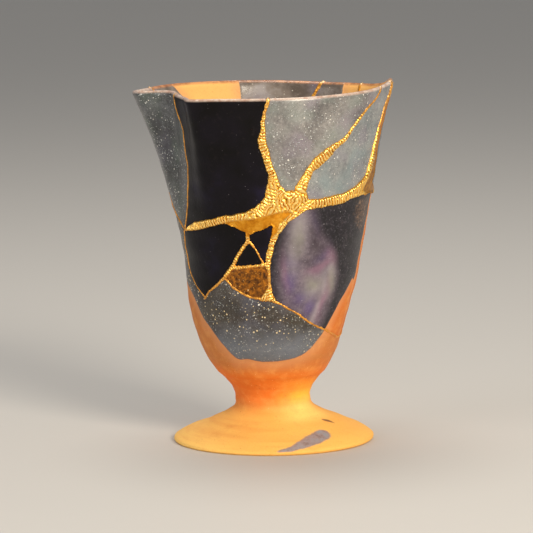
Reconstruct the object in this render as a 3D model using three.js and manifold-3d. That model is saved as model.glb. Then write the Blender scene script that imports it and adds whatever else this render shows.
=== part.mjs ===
// Stemmed sake cup put together from sherds of several fired vessels,
// joined by one raised gold lacquer seam network.  Units mm, +Z up,
// front of the cup faces -Y.  Underside centre sits at the origin.
import * as THREE from 'three';
import Module from 'manifold-3d';

const wasm = await Module();
wasm.setup();
const { Manifold, Mesh: MMesh } = wasm;

// ---------------------------------------------------------------- sizes
const HEIGHT = 100;        // nominal height of the lip above the table
const FLARE_FROM = 58;     // height where the round bowl starts to warp
const WALL = 2.6;          // wall of the bowl
const LIP = 1.9;           // wall at the lip
const FLOOR = 23;          // inside floor of the bowl
const FLOOR_ROUND = 36;    // height where the inside starts to round off
const GOLD_OUT = 0.3;      // gold stands this far above the outside
const GOLD_IN = 0.15;      // and this far above the inside
const GAP = 0.08;          // clearance between a sherd and the gold
const RAD = Math.PI / 180;

// outside profile: height, radius
const PROFILE = [[0, 27.9], [0.5, 28.5], [1.0, 28.5], [1.7, 27.7], [3.0, 25.6], [4.8, 21.4],
  [6.6, 17.2], [8.3, 13.6], [9.7, 11.5], [11.3, 10.7], [13.4, 10.8], [15.3, 11.5], [16.9, 12.5],
  [18.6, 14.1], [20.2, 15.7], [21.6, 16.6], [23.6, 17.8], [26.5, 19.2], [30, 20.4], [35, 21.9],
  [40, 23.1], [46, 24.2], [52, 24.9], [58, 26.0], [66, 27.2], [75, 28.5], [84, 29.9], [93, 31.7],
  [100, 33.4]];
// sideways wander of the throwing axis: height, offset in x
const WANDER = [[0, 0.2], [3, 0.8], [6, 1.2], [9, 0.6], [12, 0.1], [18, -0.1], [24, -0.4],
  [32, -0.6], [40, -0.3], [46, 0.3], [56, 0.65], [70, 0.8], [85, 0.9], [100, 0.8]];
// plan of the lip: angle round from the front, radius, turn, rise
const RIM = [[-180, 35.5, 0, 0], [-150, 36, 0, 0.2], [-120, 37.2, 0, 0.2], [-103, 38.6, 0, -0.1],
  [-92, 39.8, 4, 0.1], [-84, 38.2, 4, 0.4], [-77, 34.0, 1, 0.65], [-70, 30.8, 0, 0.7],
  [-62, 31, -1, 0.35], [-52, 34.2, 5, -0.1], [-40, 38.4, 2, -0.2], [-25, 36.4, 0, 0],
  [-8, 34, 0, 0], [15, 33.5, 0, 0.2], [40, 33, 0, 0.6], [62, 32.6, 0, 1.0], [80, 33.4, 0, 1.7],
  [92, 34.5, 0, 2.2], [100, 35.1, 0, 2.4], [108, 35.1, 0, 1.0], [120, 35.2, 0, 0],
  [135, 35.5, 0, -0.3], [155, 35.5, 0, -0.35]];

// ---------------------------------------------------------------- curves
function slopes(x, y, wrap) {
  const n = x.length, m = new Array(n).fill(0), h = [], d = [];
  for (let i = 0; i < n - 1; i++) { h.push(x[i + 1] - x[i]); d.push((y[i + 1] - y[i]) / h[i]); }
  for (let i = 1; i < n - 1; i++) {
    if (wrap) m[i] = (d[i - 1] * h[i] + d[i] * h[i - 1]) / (h[i] + h[i - 1]);
    else if (d[i - 1] * d[i] > 0) {
      const a = 2 * h[i] + h[i - 1], b = h[i] + 2 * h[i - 1];
      m[i] = (a + b) / (a / d[i - 1] + b / d[i]);
    }
  }
  m[0] = d[0]; m[n - 1] = d[n - 2];
  return { h, m };
}
function curve(table, column, wrap) {
  let x = table.map((r) => r[0]), y = table.map((r) => r[column]);
  const start = x[0];
  if (wrap) {
    const n = x.length;
    x = [x[n - 2] - 360, x[n - 1] - 360, ...x, x[0] + 360, x[1] + 360];
    y = [y[n - 2], y[n - 1], ...y, y[0], y[1]];
  }
  const { h, m } = slopes(x, y, wrap);
  return (v) => {
    if (wrap) v = ((v - start) % 360 + 360) % 360 + start;
    let i = 0;
    while (i < x.length - 2 && v >= x[i + 1]) i++;
    const t = (v - x[i]) / h[i];
    return (1 + 2 * t) * (1 - t) ** 2 * y[i] + t * (1 - t) ** 2 * h[i] * m[i]
      + t * t * (3 - 2 * t) * y[i + 1] + t * t * (t - 1) * h[i] * m[i + 1];
  };
}
const profile = curve(PROFILE, 1, false), wander = curve(WANDER, 1, false);
const lipRadius = curve(RIM, 1, true), lipTurn = curve(RIM, 2, true), lipRise = curve(RIM, 3, true);

// polar form of the outside at angle a (degrees) and nominal height h
function polar(a, h) {
  const k = Math.min(h, HEIGHT);
  const t = Math.max(0, (k - FLARE_FROM) / (HEIGHT - FLARE_FROM)) ** 1.3;
  return {
    r: profile(k) + (lipRadius(a) - profile(HEIGHT)) * t,
    th: (a + lipTurn(a) * t) * RAD,
    z: h + lipRise(a) * t,
    x: wander(k),
  };
}
const place = (q, r, z) => new THREE.Vector3(q.x + r * Math.sin(q.th), -r * Math.cos(q.th), z);
const outside = (a, h) => { const q = polar(a, h); return place(q, q.r, q.z); };
// how much longer the wall is when it is measured towards the axis
function slant(a, h) {
  const p = polar(a - 1, h), q = polar(a + 1, h);
  const s = (q.r - p.r) / (0.5 * (p.r + q.r) * (q.th - p.th));
  return Math.min(1.5, Math.hypot(1, s));
}
function normal(a, h) {
  const u = outside(a + 0.5, h).sub(outside(a - 0.5, h));
  const v = outside(a, h + 0.2).sub(outside(a, h - 0.2));
  return u.cross(v).normalize();
}

// ---------------------------------------------------------------- shell
function shellRows(grow, growIn) {
  const rows = [];
  const ring = (h, inset) => rows.push((a) => {
    const q = polar(a, h);
    return place(q, q.r - inset * slant(a, h), q.z);
  });
  for (const h of [0, 0.6, 1.2, 2.6, 5.6, 8.2, 10, 12.4, 15.6, 18.6, 21.2, 27, 36, 48, 60,
    73, 84, 93, 99.2]) ring(h, -grow);
  ring(HEIGHT + grow * 0.7, 0.9);
  ring(99.2, LIP - growIn);
  for (const h of [88, 70, FLOOR_ROUND]) ring(h, (h > 90 ? 2.3 : WALL) - growIn);
  for (const f of [0.55, 0.87]) {
    const h = FLOOR_ROUND - (FLOOR_ROUND - FLOOR) * f;
    rows.push((a) => {
      const q = polar(a, FLOOR_ROUND);
      return place(q, (q.r - WALL) * Math.sqrt(1 - f * f) - growIn, h + growIn);
    });
  }
  return rows;
}
function columns() {
  const list = [];
  for (let a = -180; a < 180;) { list.push(a); a += (a >= -108 && a < -24) ? 7.5 : 12; }
  return list;
}
function shell(grow, growIn) {
  const rows = shellRows(grow, growIn), cols = columns(), n = cols.length;
  const pos = [], tri = [];
  for (const row of rows) for (const a of cols) pos.push(row(a).toArray());
  for (let i = 0; i < rows.length - 1; i++) {
    for (let j = 0; j < n; j++) {
      const k = (j + 1) % n, a = i * n + j, b = i * n + k, c = (i + 1) * n + k, d = (i + 1) * n + j;
      tri.push([a, b, c], [a, c, d]);
    }
  }
  const low = pos.length; pos.push([0, 0, 0]);
  const top = pos.length; pos.push([wander(FLOOR), 0, FLOOR + growIn]);
  for (let j = 0; j < n; j++) {
    const k = (j + 1) % n, last = (rows.length - 1) * n;
    tri.push([low, k, j], [top, last + j, last + k]);
  }
  return solid(pos, tri);
}
function solid(pos, tri) {
  return new Manifold(new MMesh({
    numProp: 3,
    vertProperties: new Float32Array(pos.flat()),
    triVerts: new Uint32Array(tri.flat()),
  }));
}

// ---------------------------------------------------------------- seams
// each seam: stops of angle, height, width; it runs through the whole wall
const SEAMS = {
  spout_crease: [[-61.5, 101.5, 0.7], [-62, 96.3, 0.6], [-59.5, 93.5, 0.6], [-56.5, 90, 0.6],
    [-57, 86, 0.6], [-56.3, 80, 0.6], [-58.5, 75, 0.6], [-62, 68, 0.6], [-69, 61.4, 0.7]],
  spout_back: [[-69, 61.4, 0.7], [-82, 65, 0.7], [-98, 73, 0.8], [-108, 86, 0.8], [-109.5, 101.5, 1]],
  left_band: [[-69, 61.3, 0.7], [-64, 62, 0.9], [-54, 63.3, 2.2], [-44, 64.2, 2.1], [-36, 65.1, 1.8],
    [-29.6, 66, 2], [-24, 65.7, 3.2], [-17, 65.5, 4.8]],
  left_edge: [[-70, 61.6, 0.6], [-74, 56.5, 0.5], [-73.5, 52, 0.5], [-69.5, 48.8, 0.5],
    [-61.6, 45.7, 0.5], [-51.5, 42.8, 0.6]],
  top_middle: [[-2, 101.5, 1.3], [-2.2, 98.7, 1.0], [-3.8, 96.2, 0.8], [-4.8, 93.4, 1.1],
    [-4.8, 90.8, 1.4], [-5.7, 88.3, 2.2], [-5.1, 86.7, 2.2], [-3.7, 84, 2], [-2.3, 81.2, 2],
    [-0.5, 78.7, 2], [0.2, 75.4, 3.6]],
  to_right_lip: [[15.4, 74.6, 3.2], [17.6, 77, 2.4], [20.6, 79.7, 2.1], [25, 82, 2.8],
    [29.5, 83.7, 2.7], [34.5, 85.7, 1.6], [39, 86.8, 1.2], [42.3, 87.9, 1.1], [46.4, 90.5, 1],
    [51.7, 92.8, 0.9], [57.8, 95.1, 0.8], [64.3, 97.1, 0.7], [70.6, 99.6, 0.7], [73, 101.6, 0.7]],
  right_band: [[18, 70, 3], [27.6, 70.1, 2.4], [36, 70.7, 2.6], [44, 70.9, 2.5], [49, 71.7, 2.2],
    [56, 72.3, 3], [63, 73.2, 4.2], [70, 74.2, 5.6]],
  right_rise: [[69, 73.4, 5.4], [73.5, 77, 5.8], [76.3, 81, 5], [78, 85, 4.2], [79.5, 89, 3.4],
    [82, 93, 2.8], [86.5, 96.5, 2.4], [91, 101.6, 2]],
  stub: [[-15.6, 63.4, 1], [-15.6, 59.6, 1]],
  left_branch: [[-15.5, 60.2, 0.9], [-20, 57.3, 1], [-24, 54.7, 1], [-27.6, 52.1, 1.1]],
  right_branch: [[-15.6, 60.2, 0.7], [-12.4, 58.7, 0.6], [-10.2, 57.2, 0.55], [-7.6, 54.8, 0.55],
    [-5.2, 53.3, 0.6]],
  triangle_base: [[-27.8, 52.1, 1.1], [-20.8, 52.3, 1], [-14.8, 52.7, 0.9], [-9, 53, 0.9],
    [-3.4, 53.6, 1.2]],
  centre_drop: [[1.4, 62.4, 2], [0.2, 60.6, 1.6], [-1, 59, 1.5], [-2.1, 57, 1.5], [-3, 55, 1.4],
    [-3.3, 53, 1.3], [-2.6, 51, 0.8], [-2.1, 47.5, 0.8], [-0.9, 45.2, 1], [1.4, 42.9, 1]],
  quad_left: [[-27.4, 52.3, 1.1], [-30.4, 50.7, 1], [-33.2, 49.2, 0.9], [-38.6, 47.2, 0.8],
    [-47.2, 44.8, 0.7], [-52.4, 42.5, 0.6]],
  quad_base: [[-33.6, 49.2, 0.6], [-30.6, 48.2, 0.6], [-27.2, 46.7, 0.65], [-21, 45.2, 0.65],
    [-14.6, 44, 0.65], [-7.2, 43.5, 0.7], [2, 42.8, 0.8]],
  lower_right: [[0, 43.1, 0.8], [7.2, 41.8, 0.6], [11.8, 40.7, 0.6], [20.2, 38.8, 0.6],
    [27.6, 36.7, 0.6], [35.8, 35, 0.6], [46.4, 33.4, 0.6], [56, 31.9, 0.6], [70, 30, 0.6],
    [90, 30.4, 0.8], [112, 33, 0.9], [120, 34.4, 0.9]],
  lower_back: [[116, 33.6, 0.9], [135, 37, 1], [158, 42, 1], [179, 46.4, 1], [202, 51, 1],
    [225, 55.4, 0.9], [248, 59.8, 0.9], [262, 63.8, 0.8], [272, 68.2, 0.8]],
  back_middle: [[153, 101.5, 1.2], [158, 96, 1.1], [166, 86, 1], [173, 74, 1], [177, 60, 1],
    [179, 45.6, 1]],
  back_right: [[131, 101.5, 1], [129, 93, 0.9], [122, 83, 0.9], [112, 75, 0.9], [103, 70.4, 1]],
  right_round: [[74, 72.6, 3.2], [86, 71, 1.6], [96, 70, 1.1], [105, 70.6, 1]],
  right_drop: [[103.5, 71, 1], [109, 62, 0.9], [114, 48, 0.9], [117, 33, 0.9]],
};
// wider lacquer fills: corners as angle, height
const FILLS = {
  centre: [[-24, 67.3], [-15.6, 68.3], [-10.4, 69.5], [-6.4, 71.3], [-4.4, 72.8], [-3.6, 75.8],
    [3.6, 75.8], [7, 74], [12.2, 74.3], [15.2, 77], [20, 76.8], [18.6, 74], [20, 71.4], [20, 68.6],
    [12.6, 66.5], [8.6, 65.2], [5.4, 63.2], [2.2, 61.2], [-1.4, 61], [-0.8, 62.5], [-0.2, 64],
    [-1.4, 64.7], [-5.4, 63.5], [-10.2, 62.7], [-14, 62], [-16.4, 62.6], [-19.4, 63.2],
    [-23.6, 64]],
  wedge: [[-8, 43.2], [-3, 46.7], [-1.6, 47.8], [-0.8, 45.5], [3, 43.2], [0.8, 42.6], [-3, 42.8]],
};
const REACH = 1.1;                          // cutters pass this far out of the wall
const DEPTH = WALL * 1.5 + 1.6;             // and this far in
const through = (a, h, d) => outside(a, h).addScaledVector(normal(a, h), d);

function ribbon(stops, extra) {
  const pos = [], tri = [];
  stops.forEach((s, i) => {
    const p = stops[Math.max(0, i - 1)], q = stops[Math.min(stops.length - 1, i + 1)];
    const along = outside(q[0], q[1]).sub(outside(p[0], p[1])).normalize();
    const n = normal(s[0], Math.min(s[1], 99.5));
    const side = n.clone().cross(along).normalize().multiplyScalar(s[2] / 2 + extra);
    const mid = outside(s[0], s[1]);
    for (const [e, f] of [[1, REACH], [-1, REACH], [-1, -DEPTH], [1, -DEPTH]]) {
      pos.push(mid.clone().addScaledVector(side, e).addScaledVector(n, f).toArray());
    }
  });
  for (let i = 0; i < stops.length - 1; i++) {
    for (let c = 0; c < 4; c++) {
      const a = 4 * i + c, b = 4 * i + (c + 1) % 4;
      tri.push([a, b, b + 4], [a, b + 4, a + 4]);
    }
  }
  const e = 4 * (stops.length - 1);
  tri.push([0, 2, 1], [0, 3, 2], [e, e + 1, e + 2], [e, e + 2, e + 3]);
  const m = solid(pos, tri);
  return m.volume() < 0 ? solid(pos, tri.map((t) => [t[0], t[2], t[1]])) : m;
}
function fill(corners) {
  const flat = corners.map((c) => new THREE.Vector2(c[0], c[1]));
  if (THREE.ShapeUtils.isClockWise(flat)) { flat.reverse(); corners = [...corners].reverse(); }
  const caps = THREE.ShapeUtils.triangulateShape(flat, []).map((t) => {
    const [p, q, r] = t.map((k) => flat[k]);
    return (q.x - p.x) * (r.y - p.y) - (q.y - p.y) * (r.x - p.x) > 0 ? t : [t[0], t[2], t[1]];
  });
  const n = corners.length;
  const pos = [...corners.map((c) => through(c[0], c[1], REACH).toArray()),
    ...corners.map((c) => through(c[0], c[1], -DEPTH).toArray())];
  const tri = [];
  for (const t of caps) tri.push(t, [t[0] + n, t[2] + n, t[1] + n]);
  for (let i = 0; i < n; i++) {
    const k = (i + 1) % n;
    tri.push([i, i + n, k], [k, i + n, k + n]);
  }
  const m = solid(pos, tri);
  return m.volume() < 0 ? solid(pos, tri.map((t) => [t[0], t[2], t[1]])) : m;
}
function network(extra) {
  const parts = Object.values(SEAMS).map((s) => ribbon(s, extra));
  for (const f of Object.values(FILLS)) {
    parts.push(fill(f));
    if (extra > 0) {
      f.forEach((c, i) => {
        const d = f[(i + 1) % f.length];
        parts.push(ribbon([[c[0], c[1], 0], [d[0], d[1], 0]], extra));
      });
    }
  }
  return Manifold.union(parts);
}

// ---------------------------------------------------------------- pieces
const CLAY = { terracotta: 0xd98a4a, grey: 0x6f7077, black: 0x17161a, violet: 0x4a4160,
  brown: 0x5a4424, gold: 0xd9a23a };
// name, a point of the wall inside the sherd (angle, height), colour
const SHERDS = [
  ['foot_and_lower_bowl', 0, 30, CLAY.terracotta],
  ['spout_sherd', -85, 90, CLAY.grey],
  ['upper_black_sherd', -30, 85, CLAY.black],
  ['upper_grey_sherd', 15, 92, CLAY.grey],
  ['right_grey_sherd', 50, 80, CLAY.grey],
  ['iridescent_sherd', 35, 55, CLAY.violet],
  ['lower_black_sherd', -50, 55, CLAY.black],
  ['small_black_sherd', -7, 60, CLAY.black],
  ['small_triangle_sherd', -15.5, 55.5, CLAY.black],
  ['brown_speckled_sherd', -15, 48, CLAY.brown],
  ['back_right_sherd', 108, 88, CLAY.grey],
  ['back_sherd', 145, 65, CLAY.terracotta],
  ['back_left_sherd', -140, 80, CLAY.grey],
];
const body = shell(0, 0);
const loose = body.subtract(network(GAP)).decompose().filter((m) => m.volume() > 4);
const gold = shell(GOLD_OUT, GOLD_IN).intersect(network(0)).decompose()
  .sort((a, b) => b.volume() - a.volume())[0];

function toMesh(m, name, colour, metal) {
  const g = m.getMesh(), p = g.vertProperties, geometry = new THREE.BufferGeometry();
  geometry.setAttribute('position', new THREE.Float32BufferAttribute(Array.from(p), 3));
  geometry.setIndex(Array.from(g.triVerts));
  geometry.computeVertexNormals();
  const mesh = new THREE.Mesh(geometry, new THREE.MeshStandardMaterial({
    color: colour, metalness: metal ? 1 : 0, roughness: metal ? 0.35 : 0.6,
  }));
  mesh.name = name;
  return mesh;
}
function nearest(m, target) {
  const p = m.getMesh().vertProperties;
  let best = Infinity;
  const lo = [Infinity, Infinity, Infinity], hi = [-Infinity, -Infinity, -Infinity];
  for (let i = 0; i < p.length; i += 3) {
    const d = Math.hypot(p[i] - target.x, p[i + 1] - target.y, p[i + 2] - target.z);
    best = Math.min(best, d);
    for (let c = 0; c < 3; c++) { lo[c] = Math.min(lo[c], p[i + c]); hi[c] = Math.max(hi[c], p[i + c]); }
  }
  return best;
}
// a sherd is the loose piece that holds a small probe at its named point
function holding(angle, height) {
  const c = through(angle, height, -1.3), s = 0.4;
  const pos = [[s, 0, 0], [-s, 0, 0], [0, s, 0], [0, -s, 0], [0, 0, s], [0, 0, -s]]
    .map((v) => [v[0] + c.x, v[1] + c.y, v[2] + c.z]);
  const tri = [[0, 2, 4], [2, 1, 4], [1, 3, 4], [3, 0, 4], [2, 0, 5], [1, 2, 5], [3, 1, 5], [0, 3, 5]];
  const probe = solid(pos, tri);
  let pick = -1, most = 0;
  loose.forEach((m, i) => {
    const v = m.intersect(probe).volume();
    if (v > most) { most = v; pick = i; }
  });
  return pick;
}

const goblet = new THREE.Group();
goblet.name = 'kintsugi_goblet';
const used = new Set();
for (const [name, angle, height, colour] of SHERDS) {
  const i = holding(angle, height);
  if (i < 0 || used.has(i)) throw new Error(`no separate sherd for ${name}`);
  used.add(i);
  goblet.add(toMesh(loose[i], name, colour, false));
}
goblet.add(toMesh(gold, 'gold_seams', CLAY.gold, true));

export default goblet;
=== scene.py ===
import json
import math
import bpy
import numpy as np
from mathutils import Matrix, Vector


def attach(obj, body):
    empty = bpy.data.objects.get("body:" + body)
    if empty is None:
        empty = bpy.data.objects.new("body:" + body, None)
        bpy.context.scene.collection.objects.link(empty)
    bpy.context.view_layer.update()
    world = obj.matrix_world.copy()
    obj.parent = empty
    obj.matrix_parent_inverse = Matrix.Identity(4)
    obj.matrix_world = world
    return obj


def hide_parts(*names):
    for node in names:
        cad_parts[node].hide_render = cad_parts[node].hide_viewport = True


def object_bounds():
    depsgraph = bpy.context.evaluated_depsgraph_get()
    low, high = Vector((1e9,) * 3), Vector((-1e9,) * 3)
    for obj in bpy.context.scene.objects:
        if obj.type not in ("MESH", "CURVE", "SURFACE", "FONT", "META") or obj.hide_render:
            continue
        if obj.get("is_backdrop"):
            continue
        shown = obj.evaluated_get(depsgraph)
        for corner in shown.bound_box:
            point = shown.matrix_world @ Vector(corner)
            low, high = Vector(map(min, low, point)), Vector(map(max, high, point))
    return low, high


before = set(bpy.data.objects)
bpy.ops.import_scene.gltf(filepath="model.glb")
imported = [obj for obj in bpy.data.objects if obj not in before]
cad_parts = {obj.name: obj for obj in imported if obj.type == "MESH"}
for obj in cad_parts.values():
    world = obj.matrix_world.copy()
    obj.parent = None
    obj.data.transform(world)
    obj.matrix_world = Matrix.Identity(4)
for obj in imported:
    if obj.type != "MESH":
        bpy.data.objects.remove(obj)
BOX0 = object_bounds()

MM = 0.001
RAD = math.pi / 180

# ------------------------------------------------------------------ sizes (mm)
PROFILE = [(0, 27.9), (0.5, 28.5), (1.0, 28.5), (1.7, 27.7), (3.0, 25.6), (4.8, 21.4), (6.6, 17.2),
           (8.3, 13.6), (9.7, 11.5), (11.3, 10.7), (13.4, 10.8), (15.3, 11.5), (16.9, 12.5),
           (18.6, 14.1), (20.2, 15.7), (21.6, 16.6), (23.6, 17.8), (26.5, 19.2), (30, 20.4),
           (35, 21.9), (40, 23.1), (46, 24.2), (52, 24.9), (58, 26.0), (66, 27.2), (75, 28.5),
           (84, 29.9), (93, 31.7), (100, 33.4)]
WANDER = [(0, 0.2), (3, 0.8), (6, 1.2), (9, 0.6), (12, 0.1), (18, -0.1), (24, -0.4), (32, -0.6),
          (40, -0.3), (46, 0.3), (56, 0.65), (70, 0.8), (85, 0.9), (100, 0.8)]
RIM = [(-180, 35.5, 0, 0), (-150, 36, 0, 0.2), (-120, 37.2, 0, 0.2), (-103, 38.6, 0, -0.1),
       (-92, 39.8, 4, 0.1), (-84, 38.2, 4, 0.4), (-77, 34.0, 1, 0.65), (-70, 30.8, 0, 0.7),
       (-62, 31, -1, 0.35), (-52, 34.2, 5, -0.1), (-40, 38.4, 2, -0.2), (-25, 36.4, 0, 0),
       (-8, 34, 0, 0), (15, 33.5, 0, 0.2), (40, 33, 0, 0.6), (62, 32.6, 0, 1.0), (80, 33.4, 0, 1.7),
       (92, 34.5, 0, 2.2), (100, 35.1, 0, 2.4), (108, 35.1, 0, 1.0), (120, 35.2, 0, 0),
       (135, 35.5, 0, -0.3), (155, 35.5, 0, -0.35)]
HEIGHT, FLARE_FROM, WALL, LIP, FLOOR, FLOOR_ROUND = 100.0, 58.0, 2.6, 1.9, 23.0, 36.0
LIP_FROM, LIP_IN, LIP_UP, LIP_ARC = 98.4, 0.95, 1.6, 2.05
TOP = LIP_FROM + LIP_ARC          # skin parameter where the two sides of the wall meet

SEAMS = {
    "spout_crease": [(-61.5, 101.5, .7), (-62, 96.3, .6), (-59.5, 93.5, .6), (-56.5, 90, .6),
                     (-57, 86, .6), (-56.3, 80, .6), (-58.5, 75, .6), (-62, 68, .6), (-69, 61.4, .7)],
    "spout_back": [(-69, 61.4, .7), (-82, 65, .7), (-98, 73, .8), (-108, 86, .8), (-109.5, 101.5, 1)],
    "left_band": [(-69, 61.3, .7), (-64, 62, .9), (-54, 63.3, 2.2), (-44, 64.2, 2.1), (-36, 65.1, 1.8),
                  (-29.6, 66, 2), (-24, 65.7, 3.2), (-17, 65.5, 4.8)],
    "left_edge": [(-70, 61.6, .6), (-74, 56.5, .5), (-73.5, 52, .5), (-69.5, 48.8, .5),
                  (-61.6, 45.7, .5), (-51.5, 42.8, .6)],
    "top_middle": [(-2, 101.5, 1.3), (-2.2, 98.7, 1), (-3.8, 96.2, .8), (-4.8, 93.4, 1.1),
                   (-4.8, 90.8, 1.4), (-5.7, 88.3, 2.2), (-5.1, 86.7, 2.2), (-3.7, 84, 2),
                   (-2.3, 81.2, 2), (-.5, 78.7, 2), (.2, 75.4, 3.6)],
    "to_right_lip": [(15.4, 74.6, 3.2), (17.6, 77, 2.4), (20.6, 79.7, 2.1), (25, 82, 2.8),
                     (29.5, 83.7, 2.7), (34.5, 85.7, 1.6), (39, 86.8, 1.2), (42.3, 87.9, 1.1),
                     (46.4, 90.5, 1), (51.7, 92.8, .9), (57.8, 95.1, .8), (64.3, 97.1, .7),
                     (70.6, 99.6, .7), (73, 101.6, .7)],
    "right_band": [(18, 70, 3), (27.6, 70.1, 2.4), (36, 70.7, 2.6), (44, 70.9, 2.5), (49, 71.7, 2.2),
                   (56, 72.3, 3), (63, 73.2, 4.2), (70, 74.2, 5.6)],
    "right_rise": [(69, 73.4, 5.4), (73.5, 77, 5.8), (76.3, 81, 5), (78, 85, 4.2), (79.5, 89, 3.4),
                   (82, 93, 2.8), (86.5, 96.5, 2.4), (91, 101.6, 2)],
    "stub": [(-15.6, 63.4, 1), (-15.6, 59.6, 1)],
    "left_branch": [(-15.5, 60.2, .9), (-20, 57.3, 1), (-24, 54.7, 1), (-27.6, 52.1, 1.1)],
    "right_branch": [(-15.6, 60.2, .7), (-12.4, 58.7, .6), (-10.2, 57.2, .55), (-7.6, 54.8, .55),
                     (-5.2, 53.3, .6)],
    "triangle_base": [(-27.8, 52.1, 1.1), (-20.8, 52.3, 1), (-14.8, 52.7, .9), (-9, 53, .9),
                      (-3.4, 53.6, 1.2)],
    "centre_drop": [(1.4, 62.4, 2), (.2, 60.6, 1.6), (-1, 59, 1.5), (-2.1, 57, 1.5), (-3, 55, 1.4),
                    (-3.3, 53, 1.3), (-2.6, 51, .8), (-2.1, 47.5, .8), (-.9, 45.2, 1), (1.4, 42.9, 1)],
    "quad_left": [(-27.4, 52.3, 1.1), (-30.4, 50.7, 1), (-33.2, 49.2, .9), (-38.6, 47.2, .8),
                  (-47.2, 44.8, .7), (-52.4, 42.5, .6)],
    "quad_base": [(-33.6, 49.2, .6), (-30.6, 48.2, .6), (-27.2, 46.7, .65), (-21, 45.2, .65),
                  (-14.6, 44, .65), (-7.2, 43.5, .7), (2, 42.8, .8)],
    "lower_right": [(0, 43.1, .8), (7.2, 41.8, .6), (11.8, 40.7, .6), (20.2, 38.8, .6),
                    (27.6, 36.7, .6), (35.8, 35, .6), (46.4, 33.4, .6), (56, 31.9, .6), (70, 30, .6),
                    (90, 30.4, .8), (112, 33, .9), (120, 34.4, .9)],
    "lower_back": [(116, 33.6, .9), (135, 37, 1), (158, 42, 1), (179, 46.4, 1), (202, 51, 1),
                   (225, 55.4, .9), (248, 59.8, .9), (262, 63.8, .8), (272, 68.2, .8)],
    "back_middle": [(153, 101.5, 1.2), (158, 96, 1.1), (166, 86, 1), (173, 74, 1), (177, 60, 1),
                    (179, 45.6, 1)],
    "back_right": [(131, 101.5, 1), (129, 93, .9), (122, 83, .9), (112, 75, .9), (103, 70.4, 1)],
    "right_round": [(74, 72.6, 3.2), (86, 71, 1.6), (96, 70, 1.1), (105, 70.6, 1)],
    "right_drop": [(103.5, 71, 1), (109, 62, .9), (114, 48, .9), (117, 33, .9)],
}
FILLS = {
    "centre": [(-24, 67.3), (-15.6, 68.3), (-10.4, 69.5), (-6.4, 71.3), (-4.4, 72.8), (-3.6, 75.8),
               (3.6, 75.8), (7, 74), (12.2, 74.3), (15.2, 77), (20, 76.8), (18.6, 74), (20, 71.4),
               (20, 68.6), (12.6, 66.5), (8.6, 65.2), (5.4, 63.2), (2.2, 61.2), (-1.4, 61),
               (-.8, 62.5), (-.2, 64), (-1.4, 64.7), (-5.4, 63.5), (-10.2, 62.7), (-14, 62),
               (-16.4, 62.6), (-19.4, 63.2), (-23.6, 64)],
    "wedge": [(-8, 43.2), (-3, 46.7), (-1.6, 47.8), (-.8, 45.5), (3, 43.2), (.8, 42.6), (-3, 42.8)],
}
SHERDS = {   # a point inside each sherd: angle, height
    "foot_and_lower_bowl": (0, 33), "spout_sherd": (-85, 90), "upper_black_sherd": (-30, 85),
    "upper_grey_sherd": (15, 92), "right_grey_sherd": (50, 80), "iridescent_sherd": (35, 55),
    "lower_black_sherd": (-50, 55), "small_black_sherd": (-7, 60),
    "small_triangle_sherd": (-15.5, 55.5), "brown_speckled_sherd": (-15, 48),
    "back_right_sherd": (108, 88), "back_sherd": (145, 65), "back_left_sherd": (-140, 80),
}
# edge of the glaze over the bare clay: angle, height (glaze above)
GLAZE_EDGE = [(-79.4, 45.5), (-68.6, 42.8), (-61.8, 40), (-57, 37), (-49.8, 34.2), (-44.2, 31.3),
              (-38, 28.7), (-31.8, 26.2), (-18, 25.6), (-8.6, 25), (4, 25), (14, 25.4), (22, 26),
              (30.2, 27.2), (38, 29.5), (45.2, 33), (53, 38.5), (60, 43.3), (68, 47), (73.5, 48.8),
              (76, 57), (79.5, 66), (84, 72), (90, 76), (110, 80), (130, 80), (150, 76), (170, 68), (190, 62),
              (215, 58), (240, 55), (262, 50)]


# ------------------------------------------------------------------ curves
def curve(table, column, period=None):
    xs = np.array([r[0] for r in table], float)
    ys = np.array([r[column] for r in table], float)
    start = xs[0]
    if period:
        xs = np.concatenate([xs[-2:] - period, xs, xs[:2] + period])
        ys = np.concatenate([ys[-2:], ys, ys[:2]])
    h = np.diff(xs)
    d = np.diff(ys) / h
    m = np.zeros(len(xs))
    for i in range(1, len(xs) - 1):
        if period:
            m[i] = (d[i - 1] * h[i] + d[i] * h[i - 1]) / (h[i] + h[i - 1])
        elif d[i - 1] * d[i] > 0:
            a, b = 2 * h[i] + h[i - 1], h[i] + 2 * h[i - 1]
            m[i] = (a + b) / (a / d[i - 1] + b / d[i])
    m[0], m[-1] = d[0], d[-1]

    def at(v):
        v = np.asarray(v, float)
        if period:
            v = (v - start) % period + start
        i = np.clip(np.searchsorted(xs, v, side="right") - 1, 0, len(xs) - 2)
        t = (v - xs[i]) / h[i]
        return ((1 + 2 * t) * (1 - t) ** 2 * ys[i] + t * (1 - t) ** 2 * h[i] * m[i]
                + t * t * (3 - 2 * t) * ys[i + 1] + t * t * (t - 1) * h[i] * m[i + 1])
    return at


profile, wander = curve(PROFILE, 1), curve(WANDER, 1)
lip_radius, lip_turn, lip_rise = (curve(RIM, c, 360) for c in (1, 2, 3))
glaze_edge = curve(GLAZE_EDGE, 1, 360)


def polar(a, h):
    t = np.clip((h - FLARE_FROM) / (HEIGHT - FLARE_FROM), 0, 1) ** 1.3
    k = np.clip(h, 0, HEIGHT)
    return (wander(k), profile(k) + (lip_radius(a) - profile(HEIGHT)) * t,
            (a + lip_turn(a) * t) * RAD, h + lip_rise(a) * t)


def slant(a, h):
    _, r0, t0, _ = polar(a - 1, h)
    _, r1, t1, _ = polar(a + 1, h)
    s = (r1 - r0) / (0.5 * (r0 + r1) * (t1 - t0))
    return np.minimum(1.5, np.sqrt(1 + s * s))


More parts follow.
